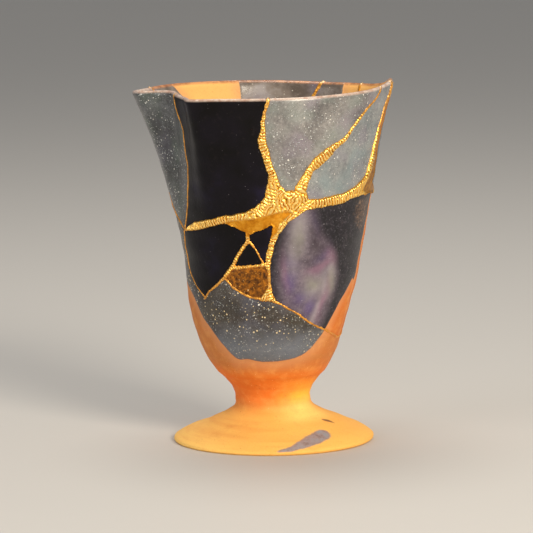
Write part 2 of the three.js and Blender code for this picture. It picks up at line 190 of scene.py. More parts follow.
def lump(p):
    """Slow unevenness of a hand-made wall, in mm."""
    x, y, z = p[..., 0], p[..., 1], p[..., 2]
    return (0.10 * np.sin(0.21 * x + 0.13 * z + 1.1) * np.sin(0.17 * y - 0.11 * z + 0.4)
            + 0.06 * np.sin(0.43 * z + 0.23 * x + 2.0) * np.sin(0.31 * y + 0.5)
            + 0.035 * np.sin(1.15 * z + 0.05 * x + 0.8))


def skin(a, v, side, off=0.0):
    """Point on the outside (side 0) or inside (side 1) of the wall; v runs up to TOP on the lip."""
    a, v = np.broadcast_arrays(np.asarray(a, float), np.asarray(v, float))
    psi = np.maximum(0, v - LIP_FROM) / LIP_ARC * math.pi / 2
    h = np.minimum(v, LIP_FROM) + LIP_UP * np.sin(psi)
    roll = LIP_IN * (1 - np.cos(psi))
    if side == 0:
        x, r, th, z = polar(a, h)
        r = r - roll * slant(a, h)
    else:
        hh = np.maximum(h, FLOOR_ROUND)
        x, r, th, z = polar(a, hh)
        t = np.clip((h - 88) / (LIP_FROM - 88), 0, 1)
        wall = WALL + (LIP - WALL) * t * t * (3 - 2 * t)
        r = r - (wall - roll) * slant(a, hh)
        f = np.clip((FLOOR_ROUND - h) / (FLOOR_ROUND - FLOOR), 0, 1)
        r = r * np.sqrt(np.maximum(0, 1 - f * f))
        z = np.where(h < FLOOR_ROUND, h, z)
        x = np.where(h < FLOOR_ROUND, wander(np.minimum(h, HEIGHT)), x)
    r = r + off
    return np.stack([x + r * np.sin(th), -r * np.cos(th), z], -1)


def normals(a, v, side):
    du = skin(a + 0.15, v, side) - skin(a - 0.15, v, side)
    dv = skin(a, v + 0.08, side) - skin(a, v - 0.08, side)
    n = np.cross(du, dv)
    n /= np.maximum(1e-9, np.linalg.norm(n, axis=-1, keepdims=True))
    return n if side == 0 else -n


# ------------------------------------------------------------------ noise
_rng = np.random.default_rng(7)
_GRAD = _rng.random((64, 64, 64))


def noise(x, y, z):
    """Smooth value noise, 0 to 1, one cell per unit."""
    xi, yi, zi = np.floor(x).astype(int), np.floor(y).astype(int), np.floor(z).astype(int)
    fx, fy, fz = x - xi, y - yi, z - zi
    fx, fy, fz = (f * f * f * (f * (f * 6 - 15) + 10) for f in (fx, fy, fz))
    out = 0
    for i in (0, 1):
        for j in (0, 1):
            for k in (0, 1):
                w = (fx if i else 1 - fx) * (fy if j else 1 - fy) * (fz if k else 1 - fz)
                out = out + w * _GRAD[(xi + i) % 64, (yi + j) % 64, (zi + k) % 64]
    return out


# ------------------------------------------------------------------ distance to the seams
def wrap(a):
    return (a + 180) % 360 - 180


def metric(a, v):
    """Millimetres per degree of angle at a point of the outside."""
    return np.linalg.norm(skin(a + 0.5, v, 0) - skin(a - 0.5, v, 0), axis=-1)


def stretch(v):
    """Millimetres per unit of height along the outside."""
    return 1.0


def seam_distance(a, v, sx):
    """Signed distance to the gold (negative in it), half the width of the nearest seam, and the
    way along it in mm."""
    best = np.full(a.shape, 1e9)
    half = np.full(a.shape, 0.3)
    along = np.zeros(a.shape)
    start = 0.0
    for stops in SEAMS.values():
        start += 37.3
        for (a0, h0, w0), (a1, h1, w1) in zip(stops[:-1], stops[1:]):
            length = math.hypot((a1 - a0) * 0.48, h1 - h0)
            start += length
            near = np.abs(v - 0.5 * (h0 + h1)) < abs(h1 - h0) / 2 + 5
            near &= np.abs(wrap(a - 0.5 * (a0 + a1))) < abs(a1 - a0) / 2 + 14
            if not near.any():
                continue
            s = sx[near]
            px, py = wrap(a[near] - 0.5 * (a0 + a1)) * s, v[near] - 0.5 * (h0 + h1)
            ex, ey = 0.5 * (a1 - a0) * s, 0.5 * (h1 - h0)
            t = np.clip((px * ex + py * ey) / np.maximum(1e-9, ex * ex + ey * ey), -1, 1)
            w = 0.25 * ((w0 + w1) + t * (w1 - w0))
            d = np.hypot(px - t * ex, py - t * ey) - w
            b, hf, al = best[near], half[near], along[near]
            half[near] = np.where(d < b, w, hf)
            along[near] = np.where(d < b, start + 0.5 * (t - 1) * length, al)
            best[near] = np.minimum(d, b)
    for corners in FILLS.values():
        c = np.array(corners, float)
        near = (np.abs(v - c[:, 1].mean()) < np.ptp(c[:, 1]) / 2 + 6)
        near &= np.abs(wrap(a - c[:, 0].mean())) < np.ptp(c[:, 0]) / 2 + 14
        aa, vv, s = a[near], v[near], sx[near]
        dist = np.full(aa.shape, 1e9)
        inside = np.zeros(aa.shape, bool)
        for (a0, h0), (a1, h1) in zip(c, np.roll(c, -1, 0)):
            px, py, ex, ey = (aa - a0) * s, vv - h0, (a1 - a0) * s, h1 - h0
            t = np.clip((px * ex + py * ey) / np.maximum(1e-9, ex * ex + ey * ey), 0, 1)
            dist = np.minimum(dist, np.hypot(px - t * ex, py - t * ey))
            cross = (h0 > vv) != (h1 > vv)
            with np.errstate(divide="ignore", invalid="ignore"):
                inside ^= cross & (aa < a0 + (vv - h0) * (a1 - a0) / (h1 - h0 if h1 != h0 else 1e-9))
        d = np.where(inside, -dist, dist)
        b, hf = best[near], half[near]
        half[near] = np.where(d < b, 1.0, hf)
        best[near] = np.minimum(d, b)
    return best, half, along


def inside_of(a, v, corners):
    """Signed distance in mm to a patch drawn by its corners, negative inside."""
    c = np.array(corners, float)
    s = np.maximum(0.1, profile(np.clip(v, 0, 100)) * RAD)
    dist = np.full(a.shape, 1e9)
    within = np.zeros(a.shape, bool)
    a = c[0, 0] + wrap(a - c[0, 0])
    for (a0, h0), (a1, h1) in zip(c, np.roll(c, -1, 0)):
        px, py, ex, ey = (a - a0) * s, v - h0, (a1 - a0) * s, h1 - h0
        t = np.clip((px * ex + py * ey) / np.maximum(1e-9, ex * ex + ey * ey), 0, 1)
        dist = np.minimum(dist, np.hypot(px - t * ex, py - t * ey))
        rise = h1 - h0 if h1 != h0 else 1e-9
        within ^= ((h0 > v) != (h1 > v)) & (a < a0 + (v - h0) * (a1 - a0) / rise)
    return np.where(within, -dist, dist)


def ragged(a, v):
    """Hand-drawn unevenness of a seam's edge, in mm."""
    u = a * 0.5
    return 0.22 * (noise(u * 1.1 + 40, v * 1.1, u * 0 + 3.3) - 0.5) \
        + 0.17 * (noise(u * 3.1 + 9, v * 3.1 + 5, u * 0 + 8.1) - 0.5)


# ------------------------------------------------------------------ clipped grids
def grid(cols, rows):
    """Triangles of a grid that closes on itself round the cup; rows bottom to top."""
    n, m = len(cols), len(rows)
    i, j = np.meshgrid(np.arange(m - 1), np.arange(n), indexing="ij")
    k = (j + 1) % n
    a, b, c, d = i * n + j, i * n + k, (i + 1) * n + k, (i + 1) * n + j
    flip = (i + j) % 2 == 0
    t1 = np.where(flip[..., None], np.stack([a, b, c], -1), np.stack([a, b, d], -1))
    t2 = np.where(flip[..., None], np.stack([a, c, d], -1), np.stack([b, c, d], -1))
    return np.concatenate([t1.reshape(-1, 3), t2.reshape(-1, 3)])


def clip(tri, f, attrs):
    """The part of the triangles with f >= 0; attrs are interpolated at the new corners."""
    inside = f >= 0
    count = inside[tri].sum(1)
    whole = tri[count == 3]
    out = [whole]
    new = {k: [v] for k, v in attrs.items()}
    keys, base = [], len(f)
    cut1, cut2 = tri[count == 1], tri[count == 2]

    def turned(t, want):
        k = np.argmax(inside[t] == want, 1)
        r = np.arange(len(t))
        return t[r, k], t[r, (k + 1) % 3], t[r, (k + 2) % 3]
    a1, b1, c1 = turned(cut1, True)
    a2, b2, c2 = turned(cut2, False)
    edges = np.concatenate([np.stack([a1, b1], 1), np.stack([a1, c1], 1),
                            np.stack([b2, a2], 1), np.stack([c2, a2], 1)])
    if len(edges):
        uniq, inv = np.unique(edges, axis=0, return_inverse=True)
        inv = inv.ravel()
        p, q = uniq[:, 0], uniq[:, 1]
        t = f[p] / (f[p] - f[q])
        t = np.clip(t, 0.02, 0.98)
        for k, v in attrs.items():
            vp, vq = v[p], v[q]
            if k == "a":
                vq = vp + wrap(vq - vp)
            w = t.reshape((-1,) + (1,) * (v.ndim - 1))
            new[k].append(vp + (vq - vp) * w)
        n1, n2 = len(cut1), len(cut2)
        e = base + inv
        ab, ac = e[:n1], e[n1:2 * n1]
        ba, ca = e[2 * n1:2 * n1 + n2], e[2 * n1 + n2:]
        out += [np.stack([a1, ab, ac], 1), np.stack([ba, b2, c2], 1), np.stack([ba, c2, ca], 1)]
    tri = np.concatenate(out)
    attrs = {k: np.concatenate(v) for k, v in new.items()}
    used = np.unique(tri)
    back = np.full(len(attrs["a"]), -1)
    back[used] = np.arange(len(used))
    return back[tri], {k: v[used] for k, v in attrs.items()}


def rim_edges(tri):
    """Boundary edges, in the direction in which their triangle runs."""
    e = np.concatenate([tri[:, [0, 1]], tri[:, [1, 2]], tri[:, [2, 0]]])
    key = e[:, 0].astype(np.int64) * 10000000 + e[:, 1]
    rev = e[:, 1].astype(np.int64) * 10000000 + e[:, 0]
    return e[~np.isin(key, rev)]


def slab(tri, attrs, outer, inner):
    """Close a clipped sheet into a solid: outside, inside and the broken edge between them."""
    n = len(outer)
    top = attrs["v"] >= TOP - 1e-6
    other = np.arange(n) + n
    other[top] = np.where(top)[0]
    flipped = other[tri][:, [0, 2, 1]]
    e = rim_edges(tri)
    p, q = e[:, 0], e[:, 1]
    walls = np.concatenate([np.stack([q, p, other[p]], 1), np.stack([q, other[p], other[q]], 1)])
    good = (walls[:, 0] != walls[:, 1]) & (walls[:, 1] != walls[:, 2]) & (walls[:, 2] != walls[:, 0])
    walls = walls[good]
    pos = np.concatenate([outer, inner])
    kind = np.concatenate([np.zeros(len(tri)), np.ones(len(tri)), np.full(len(walls), 2)])
    return pos, np.concatenate([tri, flipped, walls]), kind


def make(name, pos, tri, vertex, node, material, smooth_angle=38):
    used = np.unique(tri)
    back = np.full(len(pos), -1)
    back[used] = np.arange(len(used))
    tri, pos = back[tri], pos[used]
    me = bpy.data.meshes.new(name)
    me.vertices.add(len(pos))
    me.vertices.foreach_set("co", (pos * MM).astype(np.float32).ravel())
    me.loops.add(len(tri) * 3)
    me.loops.foreach_set("vertex_index", tri.astype(np.int32).ravel())
    me.polygons.add(len(tri))
    me.polygons.foreach_set("loop_start", np.arange(len(tri), dtype=np.int32) * 3)
    me.update(calc_edges=True)
    for key, value in vertex.items():
        at = me.attributes.new(key, "FLOAT", "POINT")
        at.data.foreach_set("value", np.asarray(value[used], np.float32))
    me.validate()
    me.shade_smooth()
    obj = bpy.data.objects.new(name, me)
    bpy.context.scene.collection.objects.link(obj)
    me.set_sharp_from_angle(angle=math.radians(smooth_angle))
    me.materials.append(material)
    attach(obj, "root")
    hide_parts(node)
    return obj


# ------------------------------------------------------------------ base sheet of the bowl
FINE = 1.0


def columns(step, fine):
    parts = []
    for lo, hi, s in ((-180, -95, step), (-95, -35, fine), (-35, 180, step)):
        parts.append(np.linspace(lo, hi, max(3, int(round((hi - lo) / s))), endpoint=False))
    return np.concatenate(parts)


LOW = 26.0
cols = columns(0.72, 0.36)
rows = np.concatenate([np.linspace(LOW, LIP_FROM, int((LIP_FROM - LOW) / 0.45)),
                       LIP_FROM + LIP_ARC * np.array([0.17, 0.34, 0.5, 0.66, 0.83, 1.0])])
V, A = np.meshgrid(rows, cols, indexing="ij")
A, V = A.ravel(), V.ravel()
TRI = grid(cols, rows)
SX = metric(A, np.minimum(V, 98))
DIST, HALF, _ = seam_distance(A, V, SX)
DIST = DIST + ragged(A, V) * 0.5

# which sherd each free corner of the sheet belongs to
n, m = len(cols), len(rows)
label = np.zeros((m, n), int)
free = (DIST > 0).reshape(m, n)
names = list(SHERDS)
for k, name in enumerate(names):
    sa, sh = SHERDS[name]
    i = int(np.argmin(np.abs(rows - sh)))
    j = int(np.argmin(np.abs(wrap(cols - sa))))
    label[i, j] = k + 1
for _ in range(4000):
    before = label.copy()
    for shift, axis in ((1, 1), (-1, 1), (1, 0), (-1, 0)):
        moved = np.roll(label, shift, axis)
        if axis == 0:
            if shift == 1:
                moved[0] = 0
            else:
                moved[-1] = 0
        label = np.where((label == 0) & free, moved, label)
    if (label == before).all():
        break
label = label.ravel()
print("sherd cells", {nm: int((label == k + 1).sum()) for k, nm in enumerate(names)},
      "unlabelled", int(((label == 0) & (DIST > 0)).sum()))


def edge_outside(a, v):
    slope = (glaze_edge(a + 1) - glaze_edge(a - 1)) / 2 / np.maximum(0.2, profile(np.clip(v, 0, 100)) * RAD)
    d = (v - glaze_edge(a)) / np.sqrt(1 + slope * slope)
    return d + 0.1 * (noise(a * 0.1 + 5, v * 0.2, a * 0 + 2.5) - 0.5) + 0.08 * (noise(a * .6, v * 1.1, a * 0 + 7) - .5)


def edge_inside(a, v):
    """Bare clay shows at two places inside the lip."""
    left, right = -124.7 - (100 - np.minimum(v, 100)) * 1.5, -163.6
    one = 0.5 * (left - right) - np.abs(wrap(a - 0.5 * (left + right)))
    two = 21.7 - np.abs(wrap(a - 119.8))
    d = -np.maximum(one, two) * 0.6
    return d + 0.4 * (noise(a * 0.2 + 50, v * 0.35, a * 0 + 4) - 0.5)


def capsule_path(a, v, stops):
    best = np.full(a.shape, -1e3)
    s = np.maximum(0.05, profile(np.clip(v, 0, 100)) * RAD)
    for (a0, h0, w0), (a1, h1, w1) in zip(stops[:-1], stops[1:]):
        px, py = wrap(a - a0) * s, (v - h0) * 2.3
        ex, ey = (a1 - a0) * s, (h1 - h0) * 2.3
        t = np.clip((px * ex + py * ey) / np.maximum(1e-9, ex * ex + ey * ey), 0, 1)
        best = np.maximum(best, w0 + (w1 - w0) * t - np.hypot(px - t * ex, py - t * ey))
    return best


GLAZED = {n_ for n_ in names if n_ not in ("foot_and_lower_bowl", "iridescent_sherd", "back_sherd",
                                             "back_left_sherd", "back_right_sherd")}


def sherd_attributes(name, a, v, side):
    if side == 0:
        e = np.full(a.shape, 5.0) if name in GLAZED else edge_outside(a, v)
        if name == "back_right_sherd":
            e = np.full(a.shape, 5.0)
    else:
        e = edge_inside(a, v)
    return e


def sherd_skin(name, a, v, side, d):
    """Clay wall with its glaze coat, a little unevenness and a softened broken edge."""
    p = skin(a, v, side)
    nrm = normals(a, v, side)
    e = sherd_attributes(name, a, v, side)
    coat = 0.13 * np.clip(e / 0.5 + 0.5, 0, 1)
    if side == 0:
        soft = -0.10 * np.exp(-np.maximum(0, d) / 0.25)
    else:
        soft = 0 * a
    keep = np.clip((TOP - v) / 1.5, 0, 1)
    rough = 0.02 * (noise(p[..., 0] * 1.6 + 90, p[..., 1] * 1.6 + 90, p[..., 2] * 1.6) - 0.5)
    return p + nrm * ((lump(p) * keep + coat - 0.07 + soft + rough) * 1.0)[..., None], e


def sherd_mesh(name, material):
    k = names.index(name) + 1
    own = label == k
    f = np.where(own, DIST, np.where(DIST > 0, -(DIST + 2 * HALF), DIST)) + 0.06
    tri = TRI[own[TRI].any(1)]
    tri, at = clip(tri, f, {"a": A, "v": V, "d": DIST})
    a, v, d = at["a"], at["v"], at["d"]
    outer, e0 = sherd_skin(name, a, v, 0, d)
    inner, e1 = sherd_skin(name, a, v, 1, d)
    top = v >= TOP - 1e-6
    inner[top] = outer[top]
    pos, faces, kind = slab(tri, at, outer, inner)
    edge = np.concatenate([e0, e1])
    side = np.concatenate([np.zeros(len(a)), np.ones(len(a))])
    aa, vv = np.concatenate([a, a]), np.concatenate([v, v])
    if name == "foot_and_lower_bowl":
        pos, faces, edge, side, aa, vv = add_foot(pos, faces, edge, side, aa, vv, at, len(a))
    smear = capsule_path(aa, vv, [(2.5, 1.3, .7), (8, 1.6, 1.3), (15, 2.4, 1.9), (24, 3.4, 2.5), (36, 4.3, 2.3)])
    spot = capsule_path(aa, vv, [(54, 6.8, .75), (57, 6.5, .8), (59, 6.0, .4)])
    low = (vv < 12) & (side == 0)
    out = side == 0
    lip = np.clip((vv - 99.15) / 0.45, 0, 1)
    patch = -inside_of(aa, vv, [(58, 69.3), (66, 70.6), (76, 69.8), (77, 66), (70, 60), (60, 63), (56, 66)])
    # painted reflection on the violet sherd: a light field (sheen) with darker flanks (shade), soft iridescent patches
    # of violet, rose and green on it, and silver painted highlights
    w = wrap(aa)
    ss = lambda x, lo, hi: (lambda q: q * q * (3 - 2 * q))(np.clip((x - lo) / (hi - lo), 0, 1))
    left = 3 + 2.5 * np.sin(vv * 0.22)
    right = np.interp(vv, [34, 38, 45, 50, 56, 62, 66, 72], [43, 46, 49, 49, 44, 33, 28, 24])
    sheen = ss(w, left - 3, left + 9) * (1 - ss(w, right - 8, right + 3))
    ww = w + 3.0 * (noise(w * 0.12, vv * 0.22, w * 0 + 3) - 0.5)
    hh = vv + 3.0 * (noise(w * 0.1 + 20, vv * 0.2, w * 0 + 8) - 0.5)

    def tint(spots):
        total = np.zeros(len(w))
        for ca, ch, ra, rh, lean, weight in spots:
            x, y = (ww - ca) * 0.44, hh - ch
            x, y = x * math.cos(lean) + y * math.sin(lean), -x * math.sin(lean) + y * math.cos(lean)
            total = np.maximum(total, weight * np.exp(-((x / (1.45 * ra)) ** 2 + (y / (1.35 * rh)) ** 2)))
        return total
    silver_highlight = tint([(16, 63, 1.6, 4, .2, .8), (41, 50, 1.5, 3.5, 0, .8), (30, 46, 2.6, 2.6, 0, .7),
                   (33.5, 39, .9, 5, -.2, .9), (36, 47, 1.4, 4, .1, .7), (13, 56, 1.2, 5, .1, .4)])
    green = tint([(15.4, 60.5, 1.0, 3, .1, .7), (42, 48, 1.1, 2.2, 0, .7), (27.5, 46.8, 1.9, 1.6, 0, .7)])
    rose = tint([(41, 55, 1.5, 2.2, .6, .9), (33, 52.5, 3.4, 1.1, .55, .9), (7.5, 52, .7, 4.5, .1, .6),
                 (37.5, 42, .9, 4, -.2, .8)])
    violet = tint([(12, 54.3, 1.6, 1.8, 0, .5), (11, 48, 1.3, 2.4, 0, .8), (19.4, 44, 2.0, 1.8, .3, .9),
                   (28, 41, 1.5, 1.9, .4, 1), (32, 55.5, 1.8, 1.2, .5, .6), (27, 64.7, 1.4, 2, 0, .5),
                   (40, 60.5, 1.6, 2.2, 0, .5)])
    shade = tint([(26.6, 59.5, 1.6, 4.0, .35, .9), (23, 54.5, 1.2, 2.5, .4, .5), (32, 63, 3.0, 3.2, 0, .8)])
    return make(name + "_look", pos, faces,
                {"edge": edge, "inside": side, "smear": np.where(low, smear, -9), "spot": np.where(low, spot, -9),
                 "up": vv, "sheen": np.where(out, sheen, 0.2), "lip": lip, "silver_highlight": silver_highlight, "green": green,
                 "rose": rose, "violet": violet, "shade": shade,
                 "patch": np.where(out, patch, -9)}, name, material)


def add_foot(pos, faces, edge, side, aa, vv, at, count):
    """Foot, stem and bottom of the bowl under the clipped sheet, and the inside floor."""
    ncol = len(cols)
    # corners of the lowest row, outside and inside, in column order
    low = np.where(np.abs(at["v"] - LOW) < 1e-6)[0]
    order = low[np.argsort(at["a"][low])]
    ring_out, ring_in = order, order + count
    assert len(order) == ncol, (len(order), ncol)
    # the walls that closed the sheet along its lowest row come off again
    lowset = np.zeros(len(pos), bool)
    lowset[ring_out] = True
    lowset[ring_in] = True
    faces = faces[~lowset[faces].all(1)]
    new_pos, new_edge, new_side, new_a, new_v, new_faces = [pos], [edge], [side], [aa], [vv], [faces]
    base = len(pos)
    order_cols = cols[np.argsort(cols)]

    def band(lower, upper, flip):
        i = np.arange(ncol)
        j = (i + 1) % ncol
        a, b, c, d = lower[i], lower[j], upper[j], upper[i]
        t = np.concatenate([np.stack([a, b, c], 1), np.stack([a, c, d], 1)])
        return t[:, ::-1] if flip else t
    hs = np.concatenate([np.linspace(LOW, 9.5, 36)[1:], np.linspace(9.5, 1.9, 22)[1:],
                         [1.5, 1.2, 0.95, 0.7, 0.5, 0.3, 0.12, 0.0]])
    above = ring_out
    for h in hs:
        v = np.full(ncol, h)
        p = skin(order_cols, v, 0)
        nrm = normals(order_cols, np.maximum(v, 0.1), 0)
        e = edge_outside(order_cols, v)
        coat = 0.13 * np.clip(e / 0.5 + 0.5, 0, 1)
        keep = min(1.0, max(0.0, (h - 1.5) / 3))
        rings = 0.05 * math.sin(h * 2.3) * (1 if 3 < h < 20 else 0)
        p = p + nrm * ((lump(p) + rings) * keep + coat - 0.07 * keep)[:, None]
        if h == 0.0:
            p[:, 2] = 0
        p[:, 2] = np.maximum(p[:, 2], 0)
        ids = base + np.arange(ncol)
        base += ncol
        new_pos.append(p); new_edge.append(e); new_side.append(np.zeros(ncol))
        new_a.append(order_cols); new_v.append(v)
        new_faces.append(band(ids, above, False))
        above = ids
    # underside: a shallow turned recess inside a flat standing ring
    for r, z in ((25.6, 0.0), (24.9, 0.25), (24.0, 0.55), (20, 0.75), (14, 0.85), (7, 0.9)):
        th = order_cols * RAD
        p = np.stack([0.2 + r * np.sin(th), -r * np.cos(th), np.full(ncol, z)], 1)
        ids = base + np.arange(ncol)
        base += ncol
        new_pos.append(p); new_edge.append(np.full(ncol, -5.)); new_side.append(np.zeros(ncol))
        new_a.append(order_cols); new_v.append(np.full(ncol, -1.))
        new_faces.append(band(ids, above, False))
        above = ids
    centre = base
    base += 1
    new_pos.append(np.array([[0.2, 0, 0.9]])); new_edge.append(np.array([-5.])); new_side.append(np.array([0.]))
    new_a.append(np.array([0.])); new_v.append(np.array([-1.]))
    i = np.arange(ncol)
    new_faces.append(np.stack([np.full(ncol, centre), above[(i + 1) % ncol], above[i]], 1))
    # inside floor
    above = ring_in
    for f in (0.80, 0.84, 0.88, 0.915, 0.945, 0.968, 0.985, 0.995):
        h = FLOOR_ROUND - (FLOOR_ROUND - FLOOR) * f
        v = np.full(ncol, h)
        p = skin(order_cols, v, 1)
        e = np.full(ncol, 5.)
        ids = base + np.arange(ncol)
        base += ncol
        new_pos.append(p); new_edge.append(e); new_side.append(np.ones(ncol))
        new_a.append(order_cols); new_v.append(v)
        new_faces.append(band(ids, above, True))
        above = ids
    new_pos.append(np.array([[wander(FLOOR), 0, FLOOR + 0.01]])); new_edge.append(np.array([5.]))
    new_side.append(np.array([1.])); new_a.append(np.array([0.])); new_v.append(np.array([FLOOR]))
    new_faces.append(np.stack([np.full(ncol, base), above[i], above[(i + 1) % ncol]], 1))
    return (np.concatenate(new_pos), np.concatenate(new_faces), np.concatenate(new_edge),
            np.concatenate(new_side), np.concatenate(new_a), np.concatenate(new_v))


# ------------------------------------------------------------------ gold
SMOOTH = [(-29, 65.2), (-23, 65.9), (-16.6, 66.1), (-10.2, 66.6), (-3, 67.5), (2.2, 68.1), (8.4, 68.4),
          (11, 67.9), (7.4, 66.5), (3.4, 65), (2.6, 62.5), (-1, 61), (-2, 60), (-12.6, 61), (-17, 61.5), (-24, 63.5)]
FLAT = [(62, 72.4), (67.6, 75.2), (72.8, 78), (75.8, 83.5), (77, 90.8), (84, 96), (96, 96), (92, 88), (90, 70),
        (80, 68.5), (69.4, 70.9)]


def gold_mesh(material):
    k = 1.0
    parts = []
    for lo, hi, st in ((-180, -95, .6), (-95, -35, .28), (-35, 95, .28), (95, 180, .6)):
        parts.append(np.linspace(lo, hi, int(round((hi - lo) / (st * k))), endpoint=False))
    gcols = np.concatenate(parts)
    grows = np.concatenate([np.linspace(28.6, LIP_FROM, int((LIP_FROM - 28.6) / (0.185 * k))),
                            LIP_FROM + LIP_ARC * np.array([.12, .25, .38, .5, .63, .75, .88, 1.0])])
    v, a = np.meshgrid(grows, gcols, indexing="ij")
    a, v = a.ravel(), v.ravel()
    sx = metric(a, np.minimum(v, 98))
    d, half, along = seam_distance(a, v, sx)
    d = d + ragged(a, v) * 1.15
    lap = -0.02 + 0.17 * np.clip((half - 0.33) / 0.4, 0, 1)
    f = lap - d
    tri = grid(gcols, grows)
    tri = tri[(f[tri] > -0.3).any(1)]
    tri, at = clip(tri, f, {"a": a, "v": v, "f": f, "h": half, "s": along})
    a, v, f, half, s = at["a"], at["v"], np.maximum(0, at["f"]), at["h"], at["s"]
    p = skin(a, v, 0)
    u = wrap(a) * 0.48

    def inner_step(poly, soft):
        q = np.clip(0.5 - inside_of(a, v, poly) / soft, 0, 1)
        return q * q * (3 - 2 * q)
    flat = inner_step(FLAT, 1.0)
    pour = inner_step(SMOOTH, 0.7)
    smooth = np.maximum(pour, flat)
    # across the bands: short ridges that run over the seam; in the middle: a tangle of them
    wob = noise(u * 1.1, v * 1.1, u * 0 + 1.7) - 0.5
    wob2 = noise(u * 2.3, v * 2.3, u * 0 + 4.1) - 0.5
    phase = s / 0.84 + 0.55 * wob + 0.4 * wob2
    across = np.abs(np.sin(math.pi * phase)) * 2 - 1
    # patches of wavy parallel ridges that lean different ways
    tangle, total = 0, 0
    for k_, (lean, seed) in enumerate(((0.3, 3.0), (-0.7, 21.0), (1.15, 47.0))):
        warp = 1.1 * (noise(u * 0.75 + seed, v * 0.75, u * 0 + seed) - 0.5) + 0.45 * (noise(u * 1.7, v * 1.7 + seed, u * 0 + 3) - 0.5)
        ridge = np.abs(np.sin(math.pi * ((u * math.cos(lean) + v * math.sin(lean)) / 0.9 + warp))) * 2 - 1
        share = np.exp(9 * noise(u * 0.42 + seed * 1.3, v * 0.42 + seed, u * 0 + 9))
        tangle, total = tangle + ridge * share, total + share
    tangle = tangle / total
    middle = np.clip(0.5 - inside_of(a, v, [(-9, 64), (-14, 68), (-9, 72), (-4, 77), (3, 79), (8, 75.5), (14, 77.5),
                                            (20, 79), (22, 72.5), (24, 69), (16, 66), (8, 63), (0, 61)]) / 1.6, 0, 1)
    strength = 0.6 + 0.55 * noise(u * 0.8 + 3, v * 0.8, u * 0 + 12)
    wr = (across * (1 - middle) + tangle * middle) * strength
    wide = np.clip(f / 0.35, 0, 1) * np.clip((half - 0.2) / 0.35, 0.15, 1)
    swell = 0.15 + 0.36 * np.clip((half - 0.3) / 0.9, 0, 1)
    quiet = np.clip((wrap(a) - 44) / 8, 0, 1) * np.clip((40 - v) / 4, 0, 1)
    thin = np.clip((0.55 - half) / 0.2, 0, 1)
    far = np.clip((wrap(a) - 73) / 4, 0, 1) * np.clip((v - 76) / 6, 0, 1) * (wrap(a) < 98)
    swell = swell * (1 - 0.75 * quiet) * (1 - 0.6 * far)
    quiet = np.maximum(quiet, 0.75 * far)
    rim = 0.12 * smooth * np.exp(-((f - 0.25) / 0.16) ** 2)
    height = -0.10 + (0.10 + swell) * (1 - np.exp(-f / 0.16)) + 0.2 * wr * wide * (1 - smooth) \
        - 0.14 * smooth * np.clip((f - 0.3) / 0.5, 0, 1) + rim \
        + 0.06 * (noise(u * .7, v * .7, u * 0 + 2) - .5) * np.clip(f, 0, 1)
    height = np.maximum(height, -0.10)
    nrm = normals(a, v, 0)
    keep = np.clip((TOP - v) / 1.5, 0, 1)
    outer = p + nrm * (height + lump(p) * keep + 0.05)[:, None]
    pin = skin(a, v, 1)
    nin = normals(a, v, 1)
    hin = -0.08 + 0.2 * (1 - np.exp(-f / 0.25)) + 0.05 * wr * wide
    inner = pin + nin * (hin + lump(pin) * keep + 0.05)[:, None]
    top = v >= TOP - 1e-6
    outer[top] = 0.5 * (outer[top] + inner[top]) + np.array([0, 0, 0.05])
    inner[top] = outer[top]
    pos, faces, kind = slab(tri, at, outer, inner)
    # ridge height, which the gold material paints dark in the hollows (painted shade) and bright on the crests (painted
    # highlight)
    relief = np.clip(0.5 + 0.5 * wr * wide * (1 - smooth) + 0.12 * smooth, 0, 1)
    zero = np.zeros(len(a))
    return make("gold_seams_look", pos, faces,
                {"relief": np.concatenate([relief, relief * 0.7]), "pour": np.concatenate([pour, zero]),
                 "flat": np.concatenate([flat, zero]), "quiet": np.concatenate([quiet, zero + 0.5]),
                 "thin": np.concatenate([thin, thin]), "lip": np.concatenate([np.clip((v - 99.3) / 0.5, 0, 1)] * 2)},
                "gold_seams", material, smooth_angle=60)


